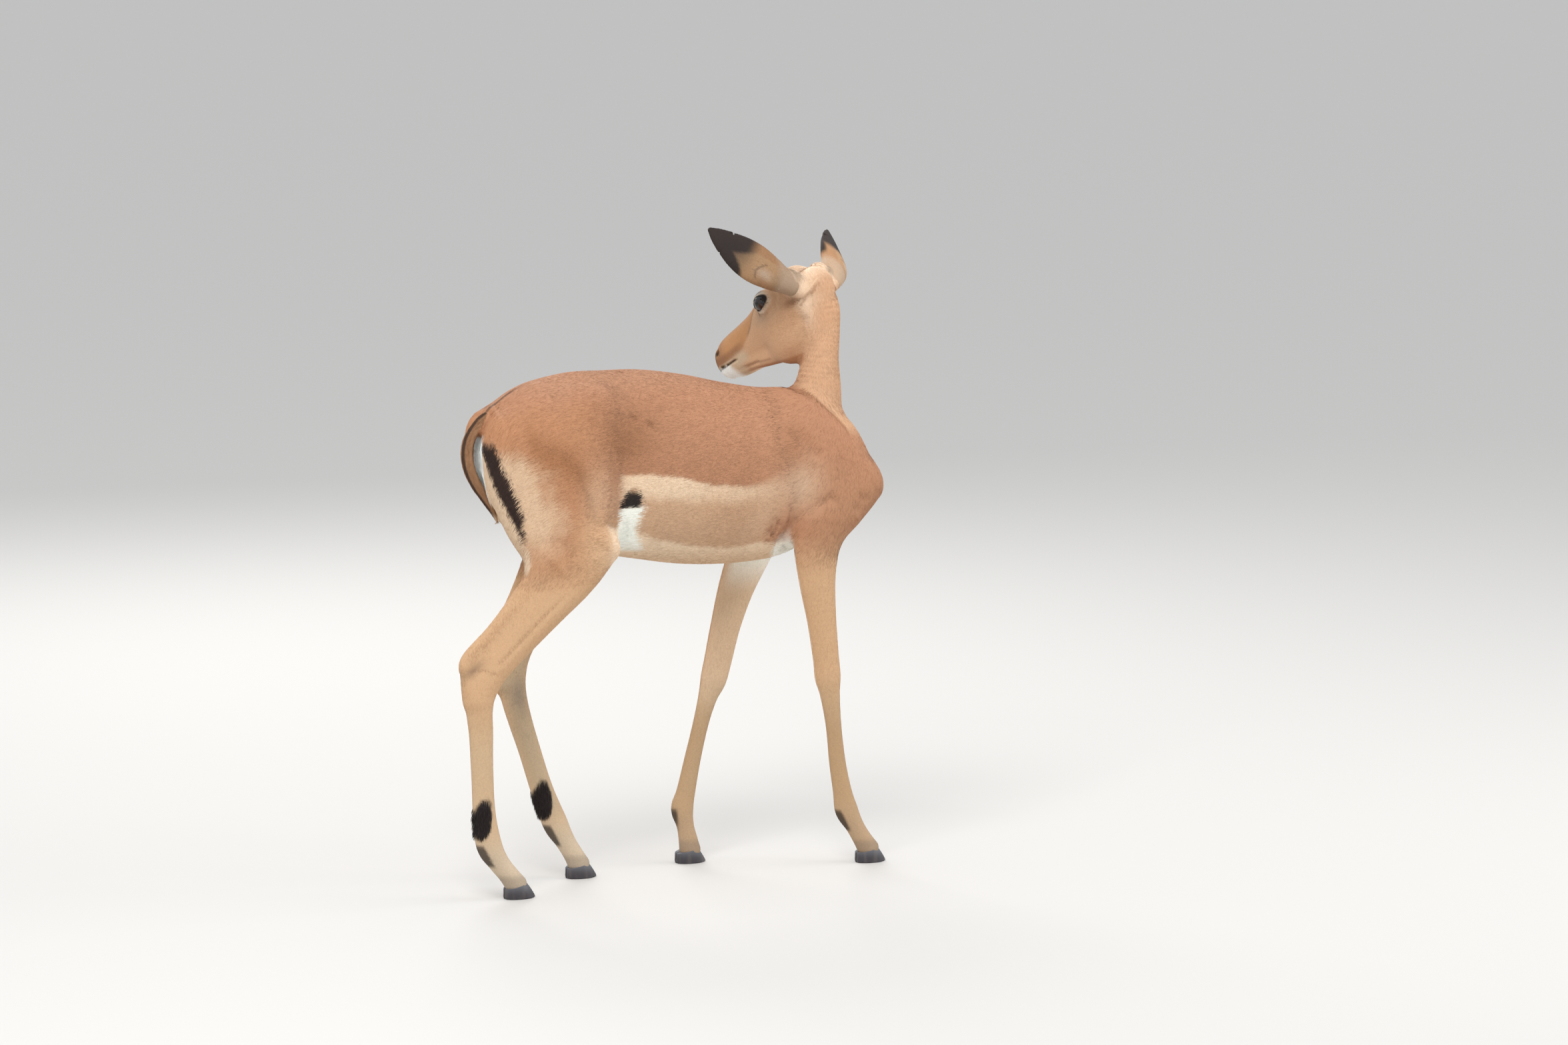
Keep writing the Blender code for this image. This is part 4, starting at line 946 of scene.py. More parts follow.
def head_details():
    """Lids, eye openings, tear folds, nostrils, mouth line and lips."""
    solids, hollows = [], []
    for side in (RIGHT, LEFT):
        middle = eye_middle(side)
        outward, fore, up = eye_axes(side)
        lid = EYE_RADIUS + LID
        solids.append(Ball(middle, (lid, lid, lid), fore, up, 0.006))
        opening = middle + outward * 0.0155 - fore * 0.0015
        hollows.append(Ball(opening, (0.0152, 0.012, 0.0106), fore, up, 0.0012))
        tear = [(*(middle + outward * 0.0105 + fore * 0.0135 - up * 0.001), 0.0012, 0.0012, 0.0012),
                (*(middle + outward * 0.0070 + fore * 0.0200 - up * 0.004), 0.0012, 0.0014, 0.0014),
                (*(middle + outward * 0.0030 + fore * 0.0270 - up * 0.009), 0.0008, 0.0010, 0.0010)]
        hollows.append(Tube(tear, outward, blend=0.0015))
        hollows.append(Ball(on_head(0.1605, side * 0.0115, -0.0270), (0.0080, 0.0032, 0.0028),
                            head_direction(0.75, side * 0.62, -0.45), head_direction(0, 0, 1), 0.002))
        lips = [(*on_head(0.172, side * 0.003, -0.055), 0.0009, 0.003, 0.003),
                (*on_head(0.162, side * 0.0145, -0.0525), 0.0011, 0.003, 0.003),
                (*on_head(0.143, side * 0.0205, -0.0548), 0.0012, 0.003, 0.003),
                (*on_head(0.120, side * 0.0225, -0.0560), 0.0009, 0.0022, 0.0022)]
        hollows.append(Tube(lips, head_direction(0, side, 0), blend=0.0014))
        chin = [(*on_head(0.128, side * 0.021, -0.0725), 0.0009, 0.0022, 0.0022),
                (*on_head(0.108, side * 0.0195, -0.0750), 0.0010, 0.0024, 0.0024),
                (*on_head(0.080, side * 0.0225, -0.0785), 0.0009, 0.0020, 0.0020)]
        hollows.append(Tube(chin, head_direction(0, side, 0), blend=0.004))
    solids.append(Ball(on_head(-0.0894, 0.0175, -0.0072), (0.017, 0.018, 0.020), blend=0.020))
    return solids, hollows


def skin_body():
    body = whole_body()
    solids, hollows = head_details()
    body.solids += solids
    body.hollows += hollows
    return Skin(body, skin_depth)


def skin_net():
    """Points and quads of the skin, ears and tail, in the solids' own frame."""
    coarse = 1.0
    body = skin_body()
    lines = [
        steps_between([(-0.46, 0.0046 * coarse), (0.13, 0.0038 * coarse), (0.155, 0.0019 * coarse),
                       (0.355, 0.0032 * coarse), (0.40, 0)]),
        steps_between([(-0.13, 0.0044 * coarse), (-0.025, 0.0019 * coarse), (0.26, 0)]),
        steps_between([(0.00, 0.0046 * coarse), (0.80, 0.0034 * coarse), (0.845, 0.0019 * coarse),
                       (1.06, 0)]),
    ]
    points, quads = surface_net(body, lines)
    for _ in range(2):
        points = settle(body, relax(points, quads), rounds=1)
    parts = [(points, quads)]
    small = [(Skin(Body([ear_form(side)]), even_depth(EAR_COAT)), EAR_GRID) for side in (RIGHT, LEFT)]
    small.append((Skin(Body([Tube(TAIL)]), even_depth(TAIL_COAT)), TAIL_GRID))
    for volume, spacing in small:
        low = np.min([solid.low for solid in volume.solids], axis=0)
        high = np.max([solid.high for solid in volume.solids], axis=0)
        points, quads = surface_net(
            volume, [steps_between([(low[a], spacing), (high[a], 0)]) for a in range(3)])
        parts.append((settle(volume, relax(points, quads), rounds=1), quads))
    return parts


# ---------------------------------------------------------------- markings
def tone(red, green, blue):
    """Linear colour of an everyday screen colour."""
    values = np.array([red, green, blue]) / 255
    return np.where(values <= 0.04045, values / 12.92, ((values + 0.055) / 1.055) ** 2.4)


def fur(red, green, blue):
    """Colour of hair; light that bounces between hairs adds red, so it starts with less."""
    return tone(red, green, blue) * (0.95, 1.0, 0.99)


SADDLE = fur(185, 131, 100)
SADDLE_DARK = fur(150, 101, 70)
BACK = fur(184, 133, 104)
HAUNCH = fur(183, 128, 93)
# painted shade for the groove between the thigh muscles
HAUNCH_GROOVE_SHADE = fur(158, 104, 68)
THIGH = fur(218, 183, 152)
FLANK = fur(230, 198, 168)
PANEL = fur(202, 160, 128)
SHOULDER_PALE = fur(212, 176, 148)
BELLY = fur(238, 208, 180)
GROIN = fur(250, 246, 238)
LEG = fur(203, 160, 123)
CANNON = fur(200, 166, 133)
SHIN = fur(174, 136, 100)
PASTERN = fur(202, 177, 152)
# painted shade for the inner sides of the legs
INNER_LEG_SHADE = fur(176, 154, 128)
BLACK = fur(40, 31, 29)
STRIPE = fur(50, 33, 28)
DARK = fur(84, 62, 52)
GREY = fur(104, 92, 90)
NECK = fur(208, 160, 125)
CHEST = fur(172, 123, 92)
POLL = fur(240, 208, 180)
CHEEK_TONE = fur(198, 154, 120)
UNDER_EYE = fur(174, 146, 122)
BRIDGE = fur(184, 132, 90)
MUZZLE = fur(134, 92, 66)
LIP = fur(196, 172, 146)
JAW_EDGE = fur(164, 106, 68)
WHITE = fur(236, 234, 232)
BROW = fur(92, 86, 82)
RING = fur(222, 202, 182)
EAR_BACK = fur(134, 104, 76)
EAR_WARM = fur(168, 128, 94)
EAR_RIDGE = fur(150, 108, 76)
EAR_INSIDE = fur(214, 200, 184)
EAR_GREY = fur(166, 138, 116)
# painted shadow under the bases of the ears
EAR_BASE_SHADOW = fur(134, 90, 60)
RIM = fur(34, 26, 24)
TAIL_TONE = fur(164, 120, 88)
BUTTOCK = fur(214, 182, 154)


class Layers:
    """Colours at many places, painted one over another."""

    def __init__(self, base, points):
        self.colours = np.tile(base, (len(points), 1))

    def __call__(self, colour, mask):
        self.colours = self.colours + (colour - self.colours) * np.clip(mask, 0, 1)[:, None]


def ripple(points, scale, seed):
    """Smooth uneven value between about -1 and 1."""
    total = np.zeros(len(points))
    turn = np.random.default_rng(seed)
    for _ in range(5):
        way = turn.normal(size=3)
        total += np.sin(points @ (way * 2 / scale) + turn.uniform(0, 6.28))
    return total / 3


def blot(first, second, centre, size, power=2):
    """Soft oval spot in two measures."""
    across = np.abs((first - centre[0]) / size[0])
    along = np.abs((second - centre[1]) / size[1])
    return np.exp(-across ** power - along ** power)


SADDLE_EDGE = [(-0.20, 0.722), (-0.127, 0.707), (-0.086, 0.704), (-0.030, 0.695), (0.026, 0.681),
               (0.082, 0.673), (0.120, 0.672), (0.160, 0.680), (0.20, 0.692), (0.24, 0.698)]
PALE_BAND = [(-0.13, 0.032), (-0.05, 0.030), (0.03, 0.018), (0.12, 0.004)]
BELLY_EDGE = [(-0.18, 0.625), (-0.096, 0.605), (-0.063, 0.589), (-0.026, 0.581), (0.012, 0.574),
              (0.049, 0.567), (0.087, 0.571), (0.125, 0.575), (0.159, 0.573)]
PATCH_FRONT = [(0.57, -0.085), (0.605, -0.108), (0.63, -0.108), (0.66, -0.096)]
FOLD_LINE = [(0.60, -0.166), (0.636, -0.153), (0.669, -0.149), (0.702, -0.147), (0.736, -0.145)]
# path of the painted shade along the groove between the thigh muscles
HAUNCH_GROOVE_PATH = [(-0.31, 0.776), (-0.288, 0.745), (-0.241, 0.728), (-0.215, 0.704), (-0.20, 0.66),
               (-0.190, 0.614)]
STRIPE_FRONT = [(0.580, -0.318), (0.599, -0.317), (0.619, -0.318), (0.642, -0.322), (0.665, -0.328),
                (0.687, -0.336), (0.709, -0.344), (0.731, -0.354), (0.754, -0.362), (0.770, -0.366)]
STRIPE_REAR = [(0.580, 0.084), (0.596, 0.080), (0.613, 0.078), (0.636, 0.074), (0.664, 0.067),
               (0.692, 0.059), (0.719, 0.050), (0.740, 0.042), (0.763, 0.026)]
RUFFLE = [(-0.104, 0.868), (-0.086, 0.838), (-0.112, 0.808), (-0.072, 0.790)]


def ruffle(points):
    """Broken line where the coat of the right loin is rubbed up."""
    gap = path_gap(points[:, 0] + 0.004 * ripple(points, 0.010, 41), points[:, 2], RUFFLE)
    return bell(gap, 0.005) * (points[:, 1] < 0) * ramp(ripple(points, 0.014, 42), -0.4, 0.3)


def body_markings(points, coat):
    x, y, z = points.T
    side = np.abs(y)
    wander = 0.006 * ripple(points, 0.05, 3) + 0.003 * ripple(points, 0.015, 4)
    cloud = ripple(points, 0.11, 5)
    coat(SADDLE_DARK, 0.10 + 0.10 * cloud + 0.65 * blot(x, z, (-0.140, 0.765), (0.055, 0.045)))
    coat(BACK, ramp(z, 0.82, 0.87))
    # haunch and thigh
    haunch = fall(x, -0.22, -0.14)
    coat(HAUNCH, haunch * fall(z, 0.80, 0.85))
    # painted shade: darker band along the groove between the thigh muscles
    groove_shade = bell(z - along_path(x, HAUNCH_GROOVE_PATH), 0.030) * hill(x, -0.30, -0.195, 0.025)
    coat(HAUNCH_GROOVE_SHADE, 0.75 * groove_shade)
    ahead = x - along_path(z, STRIPE_FRONT)
    thigh = fall(ahead + 2 * wander, 0.025, 0.085) * fall(z + 0.35 * ahead + wander, 0.730, 0.775)
    coat(THIGH, 0.9 * thigh * ramp(z, 0.55, 0.63) * fall(x, -0.24, -0.20))
    stifle = blot(x, z, (-0.185, 0.585), (0.050, 0.060), 3) * (side > 0.03)
    coat(LEG, 0.85 * stifle)
    coat(THIGH, 0.55 * blot(x, z, (-0.170, 0.565), (0.028, 0.045)) * (side > 0.05))
    # pale flank, tan side panel and white belly
    edge = along_path(x, SADDLE_EDGE)
    soft = 0.004 + 0.024 * ramp(x, 0.04, 0.20)
    rear = ramp(x, -0.148, -0.128)
    under = fall(z + 0.4 * wander, edge - soft, edge + soft) * rear
    under = under * fall(x + 0.5 * (0.69 - z), 0.10, 0.22)
    coat(FLANK, under)
    depth = edge - z - along_path(x, PALE_BAND)
    coat(PANEL, 0.40 * under * ramp(x, -0.04, 0.06))
    coat(PANEL, 0.95 * under * ramp(depth + wander, -0.010, 0.024) * ramp(x, -0.128, -0.085))
    coat(SHOULDER_PALE, 0.85 * blot(x, z, (0.200, 0.665), (0.035, 0.040)) * (side > 0.05))
    coat(CHEST, 0.30 * under * ramp(x, -0.02, 0.10) * ramp(depth, 0.0, 0.030))
    rim = along_path(x, BELLY_EDGE)
    outer = ramp(side, 0.040, 0.060)
    reach = ramp(x + 0.09 * (1 - outer), -0.176, -0.160) * fall(x, 0.165, 0.200)
    coat(BELLY, fall(z + 0.5 * wander, rim - 0.006, rim + 0.005) * reach)
    patch = hill(x, -0.136, along_path(z, PATCH_FRONT), 0.007) * hill(z, 0.575, 0.646, 0.010)
    coat(GROIN, 0.95 * patch)
    fold = bell(x - along_path(z, FOLD_LINE), 0.010) * hill(z, 0.62, 0.67, 0.03)
    coat(THIGH, 0.2 * fold * (side > 0.06))
    coat(THIGH, 0.45 * blot(x, z, (-0.185, 0.675), (0.030, 0.045)) * (side > 0.04))
    # shoulder and chest
    front = ramp(x, 0.16, 0.26)
    coat(CHEST, 0.8 * front * fall(z, 0.62, 0.74))
    # painted shade in the hollow of the shoulder blade
    blade_hollow_shade = blot(x, z, (0.175, 0.735), (0.030, 0.045)) * (side > 0.04)
    coat(SADDLE_DARK, 0.35 * blade_hollow_shade)
    chest = ramp(x, 0.20, 0.26) * fall(z, 0.545, 0.60) * fall(side, 0.02, 0.05)
    coat(BELLY, chest)
    coat(SADDLE_DARK, 0.5 * ruffle(points))
    # painted shade in the crease behind the elbow
    crease_shade = bell(x - along_path(z, [(0.545, 0.169), (0.575, 0.154), (0.594, 0.143)]), 0.004)
    coat(SADDLE_DARK, 0.6 * crease_shade * hill(z, 0.550, 0.600, 0.010) * (side > 0.05))


GLAND_HEIGHT = 0.142          # middle of the scent glands of the hind legs
GLAND_LEAN = {"right_hind": 0.26, "left_hind": 0.35}


def gland_place(points, leg):
    """Squared distance from the middle of a hind leg's scent gland; 1 is its edge."""
    up = points[:, 2] - GLAND_HEIGHT
    fore = leg_offset(points, leg)[0]
    return (up / 0.035) ** 2 + ((fore + 0.010 - GLAND_LEAN[leg] * up) / 0.0165) ** 2


def leg_markings(points, coat):
    z = points[:, 2]
    coat(LEG, fall(z, 0.50, 0.60))
    coat(CANNON, fall(z, 0.24, 0.36))
    coat(PASTERN, fall(z, 0.06, 0.13))
    for leg in FEET:
        fore, aside = leg_offset(points, leg)
        near = (np.hypot(fore, aside) < 0.075) & (z < 0.62)
        outer = aside * side_of(leg)
        if "fore" in leg:
            coat(BELLY, 0.35 * near * (outer < 0) * hill(z, 0.30, 0.50, 0.06))
            coat(SHIN, 0.7 * near * fall(z, 0.22, 0.34))
        # painted shade: greyer, darker tone on the inner sides of the legs, which face the other legs
        inner_side = near * fall(outer, -0.018, -0.002) * fall(z, 0.44, 0.56) * ramp(z, 0.10, 0.14)
        coat(INNER_LEG_SHADE, (0.75 if "hind" in leg else 0.25) * inner_side)
        inner_thigh = near * fall(outer, -0.020, 0.0) * ramp(z, 0.46, 0.54)
        coat(GROIN, 0.8 * inner_thigh)
        if "hind" in leg:
            gland = fall(gland_place(points, leg) + 0.10 * ripple(points, 0.006, 8), 0.72, 1.10)
            coat(BLACK, near * gland)
            # painted shade on the point of the hock
            hock_point_shade = blot(fore, z, (-0.048, 0.394), (0.012, 0.014))
            coat(DARK, 0.5 * near * hock_point_shade)
            # painted shade on the inner side of the hock
            inner_hock_shade = blot(fore, z, (0.004, 0.325), (0.014, 0.030)) * (outer < 0)
            coat(GREY, 0.45 * near * inner_hock_shade)
        heel = near * fall(fore, -0.0185, -0.0135) * hill(z, 0.062, 0.092, 0.008)
        coat(BLACK, 0.85 * heel)
        coat(GREY, 0.35 * near * fall(z, 0.034, 0.046))


def rump_markings(points, coat):
    x, y, z = points.T
    side = np.abs(y)
    ragged = 0.0030 * ripple(points, 0.006, 7) + 0.0015 * ripple(points, 0.003, 9)
    behind = along_path(z, STRIPE_FRONT) - x
    outside = side - along_path(z, STRIPE_REAR)
    rump = fall(x, -0.27, -0.25) * hill(z, 0.56, 0.768, 0.012)
    coat(BUTTOCK, rump * fall(outside, -0.003, 0.001))
    coat(WHITE, rump * fall(side, 0.026, 0.034) * ramp(z, 0.66, 0.70))
    stripe = ramp(outside, -0.0015, 0.0015) * ramp(behind + ragged, -0.002, 0.002)
    coat(STRIPE, stripe * hill(z, 0.592, 0.764, 0.010) * fall(x, -0.30, -0.29))
    spine = fall(side, 0.0025, 0.006) * fall(x, -0.31, -0.27) * ramp(z, 0.78, 0.80)
    coat(DARK, 0.7 * spine)


WITHERS_LINE = 1.102                  # height plus 1.2 times place ahead, along the line


def neck_markings(points, coat):
    """Pale neck; on the right it starts at a dark line of painted shade down the front of the withers."""
    x, y, z = points.T
    left = ramp(z + 0.35 * (x - 0.28), 0.795, 0.850) * ramp(x, 0.19, 0.215)
    ahead = z + 1.2 * x - WITHERS_LINE
    right = ramp(ahead, -0.002, 0.008) * ramp(z, 0.735, 0.770)
    neck = right + (left - right) * ramp(y, -0.015, 0.020)
    coat(NECK, neck)
    # painted shade along the crease where the neck meets the front of the withers, on the right side only
    line = bell(ahead, 0.0040) * fall(y, -0.020, -0.010) * hill(x, 0.225, 0.285, 0.010)
    coat(SADDLE_DARK, 0.75 * line)
    coat(POLL, 0.6 * neck * ramp(y, 0.045, 0.065))


BRIDGE_EDGE = [(0.02, 0.016), (0.033, 0.012), (0.046, 0.001), (0.061, -0.019), (0.081, -0.035),
               (0.096, -0.043), (0.123, -0.047), (0.151, -0.048), (0.18, -0.046)]
JAW_LINE = [(-0.03, -0.112), (0.01, -0.106), (0.056, -0.095), (0.082, -0.089), (0.117, -0.083),
            (0.145, -0.080)]
# path of the painted shade in the crease along the chin
CREASE_LINE = [(0.050, -0.086), (0.059, -0.084), (0.082, -0.0785), (0.109, -0.0745), (0.128, -0.0725)]


def head_markings(points, coat):
    ahead, aside, above = head_place(points)
    side = np.abs(aside)
    head = head_share(points)
    top = ramp(above, -0.045, -0.032)
    face = Layers(CHEEK_TONE, points)
    face(NECK, fall(ahead, -0.09, -0.05))
    face(POLL, 0.9 * fall(ahead, -0.080, -0.040) * ramp(above, -0.110, -0.055))
    face(JAW_EDGE, 0.35 * blot(ahead, above, (-0.006, -0.100), (0.030, 0.016)))
    face(POLL, fall(ahead + 0.25 * above, -0.095, -0.060) * ramp(above, -0.085, -0.035))
    face(POLL, fall(ahead, -0.055, -0.020) * ramp(above, 0.000, 0.020))
    shade = blot(ahead, above, (0.020, -0.016), (0.026, 0.014)) * ramp(side, 0.015, 0.030)
    face(UNDER_EYE, 0.75 * shade)
    # bridge of the nose, its dark middle and the line from the eye's corner
    edge = along_path(ahead, BRIDGE_EDGE)
    bridge = ramp(above - edge, -0.003, 0.004) * ramp(ahead, 0.015, 0.040)
    face(BRIDGE, bridge)
    face(MUZZLE, 0.65 * hill(above - edge, 0.001, 0.007, 0.010) * ramp(ahead, 0.080, 0.115))
    face(MUZZLE, 0.5 * ramp(ahead, 0.130, 0.155) * ramp(above, -0.055, -0.045))
    line = bell(above - edge, 0.0024) * hill(ahead, 0.026, 0.070, 0.010) * (side > 0.012)
    face(DARK, 0.45 * line)
    face(DARK, 0.50 * fall(side, 0.002, 0.015) * hill(ahead, 0.050, 0.130, 0.030) * top)
    forehead = fall(side, 0.004, 0.028) * hill(ahead, -0.030, 0.005, 0.030) * ramp(above, 0.008, 0.022)
    face(BROW, 0.35 * forehead)
    # lips, chin and jaw
    face(LIP, 0.85 * blot(ahead, above, (0.110, -0.057), (0.016, 0.010), 3) * ramp(side, 0.008, 0.014))
    face(LIP, 0.7 * ramp(ahead, 0.120, 0.135) * hill(above, -0.056, -0.051, 0.003))
    jaw = along_path(ahead, JAW_LINE)
    under_jaw = fall(above - jaw, 0.000, 0.006) * hill(ahead, -0.020, 0.125, 0.020)
    face(JAW_EDGE, 0.75 * under_jaw * ramp(side, 0.004, 0.010))
    face(BELLY, 0.7 * fall(side, 0.004, 0.012) * fall(above - jaw, 0.0, 0.008))
    # painted shade in the crease along the chin, under the lower lip
    crease_shade = bell(above - along_path(ahead, CREASE_LINE), 0.0020) * hill(ahead, 0.055, 0.125, 0.008)
    face(MUZZLE, 0.5 * crease_shade * ramp(side, 0.010, 0.014))
    chin = ramp(ahead - 0.4 * (above + 0.065), 0.130, 0.146)
    chin = chin * fall(above - 0.10 * (ahead - 0.14), -0.0585, -0.0545)
    face(LIP, 0.7 * ramp(ahead, 0.105, 0.122) * fall(above, -0.0585, -0.0545))
    face(WHITE, 0.92 * chin)
    lip = bell(above + 0.0548 + 0.05 * (ahead - 0.143), 0.0016) * ramp(ahead, 0.118, 0.126)
    face(RIM, 0.85 * lip)
    nose = ramp(ahead, 0.152, 0.168) * hill(above, -0.046, -0.027, 0.010) * fall(side, 0.005, 0.017)
    nostril = blot(ahead, above, (0.161, -0.027), (0.007, 0.004), 3) * (side > 0.004)
    face(RIM, np.maximum(0.8 * nose, 0.9 * nostril))
    # ear roots
    for ear in (RIGHT, LEFT):
        share, across, out = ear_place(points, ear)
        near = fall(np.hypot(across, out + 0.004), 0.022, 0.032) * ramp(share, -0.10, 0.02)
        face(EAR_GREY, 0.85 * near)
    # painted shadow under the base of the ear, behind the eye
    ear_base_shadow = blot(ahead, above, (-0.053, -0.024), (0.019, 0.008)) * ramp(side, 0.020, 0.030)
    face(EAR_BASE_SHADOW, 0.8 * ear_base_shadow)
    for eye in (RIGHT, LEFT):
        gap, out = eye_gap(points, eye)
        _, fore, up = eye_axes(eye)
        offset = points - eye_middle(eye)
        near = ramp(out, -0.006, 0.002)
        brow = blot(offset @ fore, offset @ up, (-0.010, 0.0175), (0.016, 0.0085))
        face(BROW, 0.95 * near * brow)
        ahead_of = 0.55 + 0.45 * ramp(offset @ fore, -0.004, 0.008)
        face(RING, 0.85 * near * ahead_of * hill(gap, 1.15, 1.38, 0.25))
        face(RIM, near * fall(gap, 1.08, 1.22))
        sunk = offset @ up + 0.35 * (offset @ fore - 0.019)
        tear = blot(offset @ fore, sunk, (0.020, -0.004), (0.007, 0.0018))
        face(RIM, 0.9 * near * tear)
    coat(face.colours, head)


EAR_HALF = [row[:2] for row in EAR_SHAPE]
EAR_DEPTH = [(row[0], row[2]) for row in EAR_SHAPE]
UPPER_BLACK = [(0.40, -0.016), (0.454, -0.008), (0.548, 0.002), (0.645, 0.011), (0.756, 0.020),
               (0.85, 0.030), (1.0, 0.04)]
LOWER_BLACK = [(0.47, 0.045), (0.515, 0.038), (0.571, 0.029), (0.669, 0.017), (0.758, 0.006),
               (0.82, 0.000), (1.0, -0.01)]
# path of the painted shade in the crease at the ear's root
EAR_CREASE = [(0.000, 0.330), (0.004, 0.348), (0.013, 0.393), (0.021, 0.412), (0.029, 0.388),
              (0.033, 0.360)]
# painted light: the right ear's colours are lighter copies of the left ear's
RIGHT_EAR_PAINTED_LIGHT = 1.45
EAR_PROBE = 0.0015   # step to both sides that tells the inner side of the ear


def ear_markings(points, side):
    share, across, out = ear_place(points, side)
    across = across * side
    form = ear_form(side)
    facing = EAR_PROBE * unit(head_direction(*EAR_OPENING[side]))
    opening = form.distance(points + facing) - form.distance(points - facing)
    rel = np.clip(np.abs(across) / along_path(share, EAR_HALF), 0, 1)
    dip = out + along_path(share, EAR_DEPTH) * (1 - rel ** 2)
    cupped = ramp(dip, 0.0015, 0.0035) * fall(rel, 0.78, 0.92)
    inside = np.maximum(ramp(opening, 0.3 * EAR_PROBE, 1.2 * EAR_PROBE), cupped) * ramp(share, 0.15, 0.27)
    if side == RIGHT:
        inside = inside * fall(-across, 0.019, 0.026)
    wander = 0.0012 * ripple(points, 0.014, 21) + 0.0008 * ripple(points, 0.004, 22)
    coat = Layers(EAR_BACK, points)
    warm = ramp(share, 0.10, 0.26) * fall(share, 0.42, 0.62)
    coat(EAR_WARM, 0.75 * warm)
    coat(EAR_RIDGE, 0.8 * fall(across, -0.010, -0.004))
    coat(EAR_RIDGE, 0.7 * ramp(across, 0.024, 0.029) * fall(share, 0.30, 0.38))
    coat(DARK, 0.85 * blot(share, across, (0.72, 0.010), (0.17, 0.016)))
    coat(EAR_GREY, 0.8 * fall(share + 3 * across, 0.14, 0.26))
    # painted light on the fold at the ear's root, and painted shade in the crease beside it
    coat(WHITE, 0.14 * blot(share, across, (0.31, 0.019), (0.080, 0.008)))
    crease_shade = bell(share - along_path(across, EAR_CREASE), 0.012) * hill(across, 0.004, 0.030, 0.004)
    coat(DARK, 0.6 * crease_shade)
    upper = ramp(along_path(share, UPPER_BLACK) - across + wander, -0.006, 0.005) * ramp(share, 0.44, 0.60)
    lower = ramp(across - along_path(share, LOWER_BLACK) + wander, -0.006, 0.004) * ramp(share, 0.42, 0.55)
    black = np.maximum(upper, lower)
    if side == RIGHT:
        black = np.maximum(black, ramp(share + 4 * wander, 0.53, 0.62))
        black = np.maximum(black, ramp(share, 0.30, 0.40) * fall(across, -0.028, -0.022))
        # painted light: lighter copy of the ear's colours on the right ear
        coat.colours = np.clip(RIGHT_EAR_PAINTED_LIGHT * coat.colours, 0, 1)
    coat(BLACK, 0.97 * black)
    hairs = Layers(EAR_INSIDE, points)
    hairs(BROW, 0.6 * np.clip(np.sin(across / 0.0040), 0, 1) * hill(share, 0.35, 0.80, 0.1))
    hairs(BLACK, 0.9 * ramp(share, 0.68, 0.80))
    coat(hairs.colours, inside)
    return coat.colours


def tail_markings(points):
    x, y, z = points.T
    side = np.abs(y)
    front = x - along_path(z, TAIL_LINE)
    rear = fall(front, -0.004, -0.001) * fall(side, 0.004, 0.009)
    coat = Layers(TAIL_TONE, points)
    coat(STRIPE, 0.85 * rear)
    under = ramp(front, 0.0058, 0.0074) * fall(side, 0.006, 0.011)
    coat(WHITE, under * fall(z, 0.740, 0.755))
    coat(BUTTOCK, 0.6 * fall(z, 0.632, 0.655))
    return coat.colours


def markings(points, kind):
    """Colour of skin and coat at places of the solids' own frame."""
    if kind == "tail":
        return tail_markings(points)
    if kind != "body":
        return ear_markings(points, side_of(kind))
    coat = Layers(SADDLE, points)
    for part in (body_markings, neck_markings, leg_markings, rump_markings, flank_spot, head_markings):
        part(points, coat)
    return coat.colours


def flank_spot(points, coat):
    x, y, z = points.T
    width = along_path(z, [(0.648, 0.019), (0.662, 0.018), (0.674, 0.012), (0.686, 0.003)])
    lean = along_path(z, [(0.648, -0.122), (0.666, -0.1205), (0.686, -0.119)])
    spot = fall(np.abs(x - lean) - width, -0.002, 0.002) * hill(z, 0.6515, 0.683, 0.002)
    coat(BLACK, spot * (np.abs(y) > 0.06))
    flap = np.exp(-((x + 0.117) / 0.006) ** 2 - ((z - 0.681) / 0.005) ** 2) * (np.abs(y) > 0.06)
    coat(PANEL, 0.9 * flap)


KINDS = ("body", "ear_right", "ear_left", "tail")


def coloured_mesh(name, points, faces, colours, smooth=True):
    """Mesh object in the final frame with a colour on each point."""
    mesh = bpy.data.meshes.new(name)
    sides = faces.shape[1]
    mesh.vertices.add(len(points))
    mesh.vertices.foreach_set("co", (points + CENTRE_SHIFT).ravel())
    mesh.loops.add(faces.size)
    mesh.loops.foreach_set("vertex_index", faces.ravel().astype(np.int32))
    mesh.polygons.add(len(faces))
    mesh.polygons.foreach_set("loop_start", np.arange(0, faces.size, sides, dtype=np.int32))
    mesh.polygons.foreach_set("use_smooth", np.full(len(faces), smooth))
    mesh.update(calc_edges=True)
    attribute = mesh.color_attributes.new("markings", "FLOAT_COLOR", "POINT")
    attribute.data.foreach_set("color", np.hstack([colours, np.ones((len(colours), 1))]).ravel())
    made = bpy.data.objects.new(name, mesh)
    bpy.context.scene.collection.objects.link(made)
    return made


# ---------------------------------------------------------------- coat
def nearest_leg(points):
    """Number of the leg whose middle line is nearest."""
    gaps = [np.hypot(*leg_offset(points, leg)) for leg in FEET]
    return np.argmin(gaps, axis=0)


def region_of(points, kind):
    """Name of the coat piece each place belongs to."""
    if kind != "body":
        return np.full(len(points), kind, dtype=object)
    x, y, z = points.T
    names = np.full(len(points), "ribs", dtype=object)
    names[x < -0.03] = "flank"
    names[x < -0.20] = "rump"
    names[x > 0.12] = "shoulder"
    low = z < 0.53
    legs = np.array(list(FEET), dtype=object)
    names[low] = legs[nearest_leg(points[low])]
    names[(z + 0.35 * (x - 0.28) > 0.812) & (x > 0.19)] = "neck"
    names[head_share(points) > 0.5] = "head"
    return names


